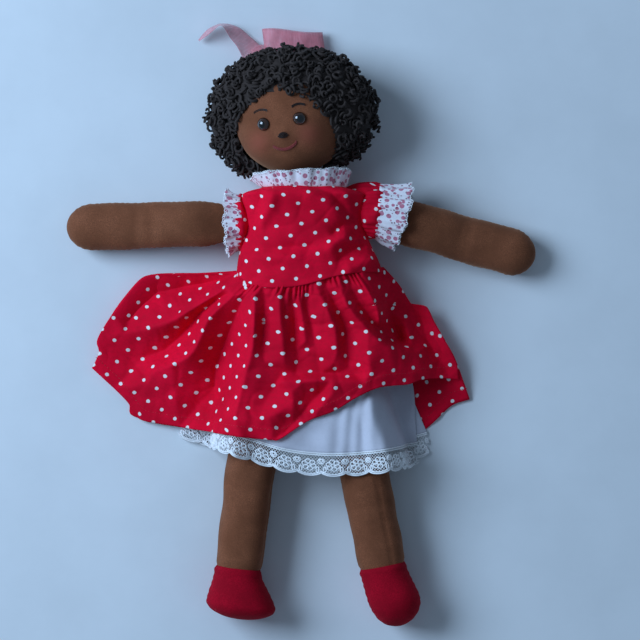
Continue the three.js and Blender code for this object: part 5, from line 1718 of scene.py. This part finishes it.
def skirt_front_grid():
    """Points of the skirt's front: spanned between its edges and fold lines, with gathers and creases."""
    s, r = grid_of(*SKIRT_FRONT_GRID)
    seam = []
    for x, y in WAISTLINE:
        end = WAISTLINE[-1] if x > 0 else WAISTLINE[0]
        over = (TORSO_HALF_DEPTH + 2.2) * arch(x / end[0], OVAL_POWER)
        seam.append((x, y + WAIST_TUCK, BODY_Z + over))
    base = skirt_plan(seam, SKIRT_RIGHT_SIDE, SKIRT_FRONT_HEM, [*SKIRT_LEFT_SIDE, SKIRT_FRONT_TIP])(s, r)
    flat = base[..., :2]
    z = draped(flat, [base[0], base[-1], base[:, 0], base[:, -1], *SKIRT_FOLD_LINES])
    for edge in ((0,), (-1,), (slice(None), 0), (slice(None), -1)):
        z[edge] = base[edge][..., 2]
    z = softened(z, 2)
    inside = (1 - np.abs(2 * s - 1) ** 10) * ease(r, 0, 0.05)
    down = waist_y(flat[..., 0]) - flat[..., 1]
    fan = flat[..., 0] * GATHER_FAN / (GATHER_FAN + np.maximum(down, 0))
    pleat = fan / 4.2 + 0.7 * np.sin(fan / 5.1 + 1) + 0.4 * np.sin(fan / 2.7)
    reach = 13 + 8 * np.sin(fan / 3.3) * np.sin(fan / 7.7)
    gathered = ease(fan, -46, -34) * ease(-fan, -52, -40) * (1 - ease(down, 2, reach))
    slack = 0.35 * waver(flat, 14, SEEDS["skirt"])
    for depth, wave, seed in ((0.7, 46, SEEDS["skirt creases"]), (0.35, 25, SEEDS["fine creases"])):
        slack = slack + depth * creased(flat, wave, seed)
    z = z + inside * (1.1 * gathered * np.sin(pleat * TURN) + slack * ease(r, 0.05, 0.3))
    return np.concatenate([flat, np.maximum(z, 1.4)[..., None]], axis=-1)


def skirt_panel(layer, points):
    """A panel of the skirt with the stitches of its hem."""
    panel = panel_object(f"skirt_{layer}", points, THICKNESS["skirt"], spotted_cotton())
    hem_thread = thread("hem thread", shade(dress_settings().cotton, 0.9))
    hem = stitches(f"skirt_{layer}_hem_stitches", [hem_line(points)], hem_thread)
    dress_piece(hem, None, WITH_SKIRT)


def make_skirt_front():
    under = ("petticoat_front_cloth", "petticoat_lace_front_motif")
    trees = [face_tree(bpy.data.objects[name]) for name in under]
    points = lay_over(skirt_front_grid(), trees, GAP["skirt"])
    turned_up = 1 - ease(above_hem(points), HEM_DEPTH - 0.5, HEM_DEPTH + 0.5)
    points[:-1, :, 2] += 0.3 * turned_up
    points[-1, :, 2] += 0.3
    skirt_panel("front", points)


def make_skirt_back():
    s, r = grid_of(*SKIRT_BACK_GRID)
    seam = [(x, y, BODY_Z) for x, y in (WAISTLINE[0], (-30, -34), (0, -34.5), (30, -34), WAISTLINE[-1])]
    base = skirt_plan(seam, SKIRT_RIGHT_SIDE, SKIRT_BACK_HEM, [*SKIRT_LEFT_SIDE, SKIRT_BACK_TIP])(s, r)
    flat = base[..., :2]
    sides = base[:, :1, 2] * (1 - ease(s, 0, 0.12)) + base[:, -1:, 2] * (1 - ease(1 - s, 0, 0.12))
    corner = ease(flat[..., 0], 78, 96) * ease(-flat[..., 1], 112, 128)
    z = np.maximum(sides, 0.5) + 1.1 * corner * (1 + waver(flat, 22, SEEDS["skirt corner"]))
    skirt_panel("back", np.concatenate([flat, z[..., None]], axis=-1))


def petticoat_height(layer, flat, s, r):
    """Height of a petticoat panel: the front arches over the legs, and the back lies on the skirt's back."""
    share = 2 * s - 1
    if layer == "back":
        return 1.7 + (BODY_Z - 2.5) * seam_drop(r) * (1 - arch(share, 5))
    foot = 2.9 + (BODY_Z - 2.9) * seam_drop(r)
    crown = lerp(BODY_Z + TORSO_HALF_DEPTH + 0.6, PETTICOAT_RISE, ease(r, 0, 0.25))
    pleat = 11 * s + 0.6 * np.sin(TURN * 2.3 * s + 2)
    soft = np.sin(TURN * pleat) * 0.4 * ease(r, 0.15, 0.6)
    soft = soft + 0.7 * waver(flat, 24, SEEDS["petticoat"]) * ease(r, 0.2, 0.5)
    x, y = flat[..., 0], flat[..., 1]
    edge = np.where(x > 0, LEG_EDGE[1][0], LEG_EDGE[-1][0])
    edge = edge + np.maximum(SEAT_Y - y, 0) * np.where(x > 0, LEG_EDGE[1][1], LEG_EDGE[-1][1])
    over = 1 - ease(np.abs(x), edge - 16, edge + 12)
    bell = lerp(arch(share, 2.6), over, ease(r, 0.03, 0.35))
    return foot + (crown - foot) * bell + soft * (1 - np.abs(share) ** 6)


def leg_sweep():
    """The legs' faces as modelled and at both ends of their spread."""
    trees = []
    for joint in frame["joints"]:
        if joint["name"].endswith("_spread"):
            made = bpy.data.objects[f"{joint['child']}_cloth"]
            for degrees in (0, *joint["range_deg"]):
                trees.append(face_tree(made, joint["pos_m"], math.radians(degrees) * joint["axis"][2]))
    return trees


def petticoat_grid(layer):
    s, r = grid_of(*PETTICOAT_GRID)
    half, top = PETTICOAT_TOP
    waist = [(-half, top), (half, top)]
    flat = skirt_plan(waist, PETTICOAT_RIGHT_SIDE, PETTICOAT_HEM, PETTICOAT_LEFT_SIDE[layer])(s, r)
    return np.concatenate([flat, petticoat_height(layer, flat, s, r)[..., None]], axis=-1)


def lace_grid(hem):
    """Rows of points that hang from a hem at the lace's steps, a little wider towards its edge."""
    fall = np.arange(LACE_STEP, LACE_WIDTH + LACE_STEP, LACE_STEP)[:, None]
    x = hem[:, 0] * (1 + 0.02 * fall / LACE_WIDTH)
    return np.stack([x, hem[:, 1] - fall, np.broadcast_to(hem[:, 2], x.shape)], axis=-1)


def circle_line(radius, count):
    angle = np.linspace(0, TURN, count)
    return np.stack([radius * np.cos(angle), radius * np.sin(angle)], axis=-1)


def lace_motif():
    """Outline threads of one repeat of the lace, in millimetres from the middle of its top."""
    flower = np.array([0, FLOWER_DEPTH])
    lines = [circle_line(1.05, 9) + flower]
    for k in range(PETALS):
        angle = k / PETALS * TURN + 0.3
        out = np.array([2.5 * math.cos(angle), 2.5 * math.sin(angle)])
        lines.append(circle_line(1.45, 10) + out + flower)
    spiral = np.linspace(0, 1, 18)
    radius = lerp(0.5, 2.1, spiral)
    scroll = np.stack([6.4 - radius * np.cos(spiral * 9), 5.4 + radius * np.sin(spiral * 9)], axis=-1)
    leaf = circle_line(1, 10) * [0.8, 1.9]
    for sign in (-1, 1):
        lines.append(scroll * [sign, 1])
        lines.append(leaf + [sign * 4.6, 11.2])
    return lines


def lace_lines(pitch):
    """The lace's outline threads and net threads, as lines of (place along, depth)."""
    outlines, net = [], []
    whole = LACE_REPEATS * pitch
    for k in range(LACE_REPEATS):
        middle = (k + 0.5) * pitch
        outlines += [line * [pitch / MOTIF_WIDTH, 1] + [middle, 0] for line in lace_motif()]

    def lower(u):
        return LACE_WIDTH - 2.6 + 2.2 * np.abs(np.sin(math.pi * u / pitch)) ** 0.7

    u = np.linspace(0, whole, LACE_REPEATS * 16 + 1)
    for depth in (0 * u, 0 * u + 1.3, lower(u), lower(u) - 1.1):
        outlines.append(np.stack([u, depth], axis=-1))
    depth = np.arange(0, LACE_WIDTH, NET_STEP / 2)
    for sign in (-1, 1):
        for start in np.arange(-LACE_WIDTH, whole + LACE_WIDTH, NET_STEP):
            u = start + sign * depth
            kept = (u >= 0) & (u <= whole) & (depth <= lower(u) - 0.4)
            if kept.sum() > 1:
                net.append(np.stack([u, depth], axis=-1)[kept])
    return outlines, net


def on_lace(line, hanging, run, ripple):
    """Points on the hanging lace for a line of (place along, depth)."""
    fall = line[:, 1] + 0.2
    at = between(hanging, fall / LACE_STEP, np.interp(line[:, 0], run, np.arange(len(run))))
    at[:, 2] += 0.3 + ripple * ((1 + np.sin(line[:, 0] / 5.3)) * ease(fall, 2, 14))
    return at


def make_petticoat():
    settings = dress_settings()
    lace = lace_cotton()
    for layer, (flat, held, under) in PETTICOAT_SHEETS.items():
        points = petticoat_grid(layer)
        whole = np.concatenate([points, lace_grid(points[-1])])
        if layer == "front":
            lay_over(whole, [face_tree(bpy.data.objects["body_cloth"]), *leg_sweep()], GAP["petticoat"])
        points, hanging = whole[:len(points)], whole[len(points) - 1:]
        made = panel_object(f"petticoat_{layer}", points, THICKNESS["petticoat"], white_lawn())
        run = run_along(points[-1])
        outlines, net = ([on_lace(line, hanging, run, LACE_RIPPLE[layer]) for line in lines]
                         for lines in lace_lines(run[-1] / LACE_REPEATS))
        ground = threads(f"petticoat_lace_{layer}_net", net, settings.net_thread, lace, 3)
        dress_piece(ground, None, WITH_SKIRT)
        motif = threads(f"petticoat_lace_{layer}_motif", outlines, settings.lace_thread, lace, 4)
        dress_piece(motif, None, WITH_SKIRT, [f"petticoat_lace_{layer}"])


# Fastenings and stage

def make_fastenings():
    finishes = {"press_stud": stud_steel(), "eye_washer": washer_nylon()}
    for name, made in frame["nodes"].items():
        for start, material in finishes.items():
            if name.startswith(start):
                made.data.materials.clear()
                made.data.materials.append(material)


def make_stage():
    scene = bpy.context.scene
    settings = scene.doll_stage
    corners = [(x * TABLE_HALF, y * TABLE_HALF, -TABLE_DROP) for x, y in ((-1, -1), (1, -1), (1, 1), (-1, 1))]
    table = mesh_object("table", corners, [(0, 1, 2, 3)])
    table.data.materials.append(table_paint())
    camera = bpy.data.objects.new("camera", bpy.data.cameras.new("camera"))
    camera.data.sensor_width = SENSOR_WIDTH
    camera.data.lens = SENSOR_WIDTH * settings.camera_height / settings.frame_width
    camera.data.clip_end = CAMERA_REACH
    camera.location = (*CAMERA_PLACE, settings.camera_height)
    scene.collection.objects.link(camera)
    scene.camera = camera
    window = bpy.data.objects.new("window", bpy.data.lights.new("window", "AREA"))
    window.data.energy = settings.key_light
    window.data.shape = "RECTANGLE"
    window.data.size = window.data.size_y = WINDOW_SIZE
    window.data.color = WINDOW_TINT
    window.location = WINDOW_PLACE
    window.rotation_euler = (Vector(WINDOW_AIM) - window.location).to_track_quat("-Z", "Y").to_euler()
    scene.collection.objects.link(window)
    world = bpy.data.worlds.new("room")
    world.use_nodes = True
    background = world.node_tree.nodes["Background"]
    background.inputs["Color"].default_value = SKY_TINT
    background.inputs["Strength"].default_value = settings.sky_light
    scene.world = world
    scene.view_settings.view_transform = "Standard"


# Add-on

class DollOperator:
    """What the doll's operators share."""

    bl_options = {"REGISTER", "UNDO"}

    def execute(self, context):
        for make in self.makers:
            make()
        return {"FINISHED"}


class DOLL_OT_stage(DollOperator, bpy.types.Operator):
    """Set the table, the light and the camera"""

    bl_idname = "doll.stage"
    bl_label = "Stage"
    makers = (make_stage,)


class DOLL_OT_body(DollOperator, bpy.types.Operator):
    """Make the stuffed body, arms and legs"""

    bl_idname = "doll.body"
    bl_label = "Body, arms and legs"
    makers = (make_torso, make_arms, make_legs)


class DOLL_OT_shoes(DollOperator, bpy.types.Operator):
    """Make the felt shoes"""

    bl_idname = "doll.shoes"
    bl_label = "Shoes"
    makers = (make_shoes,)


class DOLL_OT_head(DollOperator, bpy.types.Operator):
    """Make the head with its eyes and stitched face"""

    bl_idname = "doll.head"
    bl_label = "Head and face"
    makers = (make_head, make_face, make_eyes)


class DOLL_OT_hair(DollOperator, bpy.types.Operator):
    """Make the yarn curls and their ribbon"""

    bl_idname = "doll.hair"
    bl_label = "Hair and ribbon"
    makers = (make_hair, make_ribbon_loop, make_ribbon_tail, make_ribbon_knot)


class DOLL_OT_petticoat(DollOperator, bpy.types.Operator):
    """Make the petticoat and its lace edging"""

    bl_idname = "doll.petticoat"
    bl_label = "Petticoat and lace"
    makers = (make_petticoat,)


class DOLL_OT_bodice(DollOperator, bpy.types.Operator):
    """Make the bodice with its collar frill and sleeves"""

    bl_idname = "doll.bodice"
    bl_label = "Bodice, collar and sleeves"
    makers = (make_bodice, make_neck_frill, make_sleeves)


class DOLL_OT_skirt(DollOperator, bpy.types.Operator):
    """Make the gathered skirt and its hem"""

    bl_idname = "doll.skirt"
    bl_label = "Skirt"
    makers = (make_skirt_front, make_skirt_back)


class DOLL_OT_fastenings(DollOperator, bpy.types.Operator):
    """Finish the press studs and the eyes' washers"""

    bl_idname = "doll.fastenings"
    bl_label = "Fastenings"
    makers = (make_fastenings,)


OPERATORS = (DOLL_OT_stage, DOLL_OT_body, DOLL_OT_shoes, DOLL_OT_head, DOLL_OT_hair, DOLL_OT_petticoat,
             DOLL_OT_bodice, DOLL_OT_skirt, DOLL_OT_fastenings)
SETTINGS = {"doll_body": DollBodySettings, "doll_dress": DollDressSettings, "doll_stage": DollStageSettings}


class DOLL_PT_panel(bpy.types.Panel):
    """The doll's settings and the operators that make it"""

    bl_label = "Cloth doll"
    bl_space_type = "VIEW_3D"
    bl_region_type = "UI"
    bl_category = "Cloth doll"

    def draw(self, context):
        for operator in OPERATORS:
            self.layout.operator(operator.bl_idname)
        for name, group in SETTINGS.items():
            box = self.layout.box()
            for setting in group.__annotations__:
                box.prop(getattr(context.scene, name), setting)


def register():
    for group in (*SETTINGS.values(), *OPERATORS, DOLL_PT_panel):
        bpy.utils.register_class(group)
    for name, group in SETTINGS.items():
        setattr(bpy.types.Scene, name, bpy.props.PointerProperty(type=group))


def unregister():
    for name in SETTINGS:
        delattr(bpy.types.Scene, name)
    for group in (DOLL_PT_panel, *OPERATORS, *SETTINGS.values()):
        bpy.utils.unregister_class(group)


def main():
    register()
    for operator in OPERATORS:
        getattr(bpy.ops.doll, operator.bl_idname.split(".")[1])()


if __name__ == "__main__":
    main()
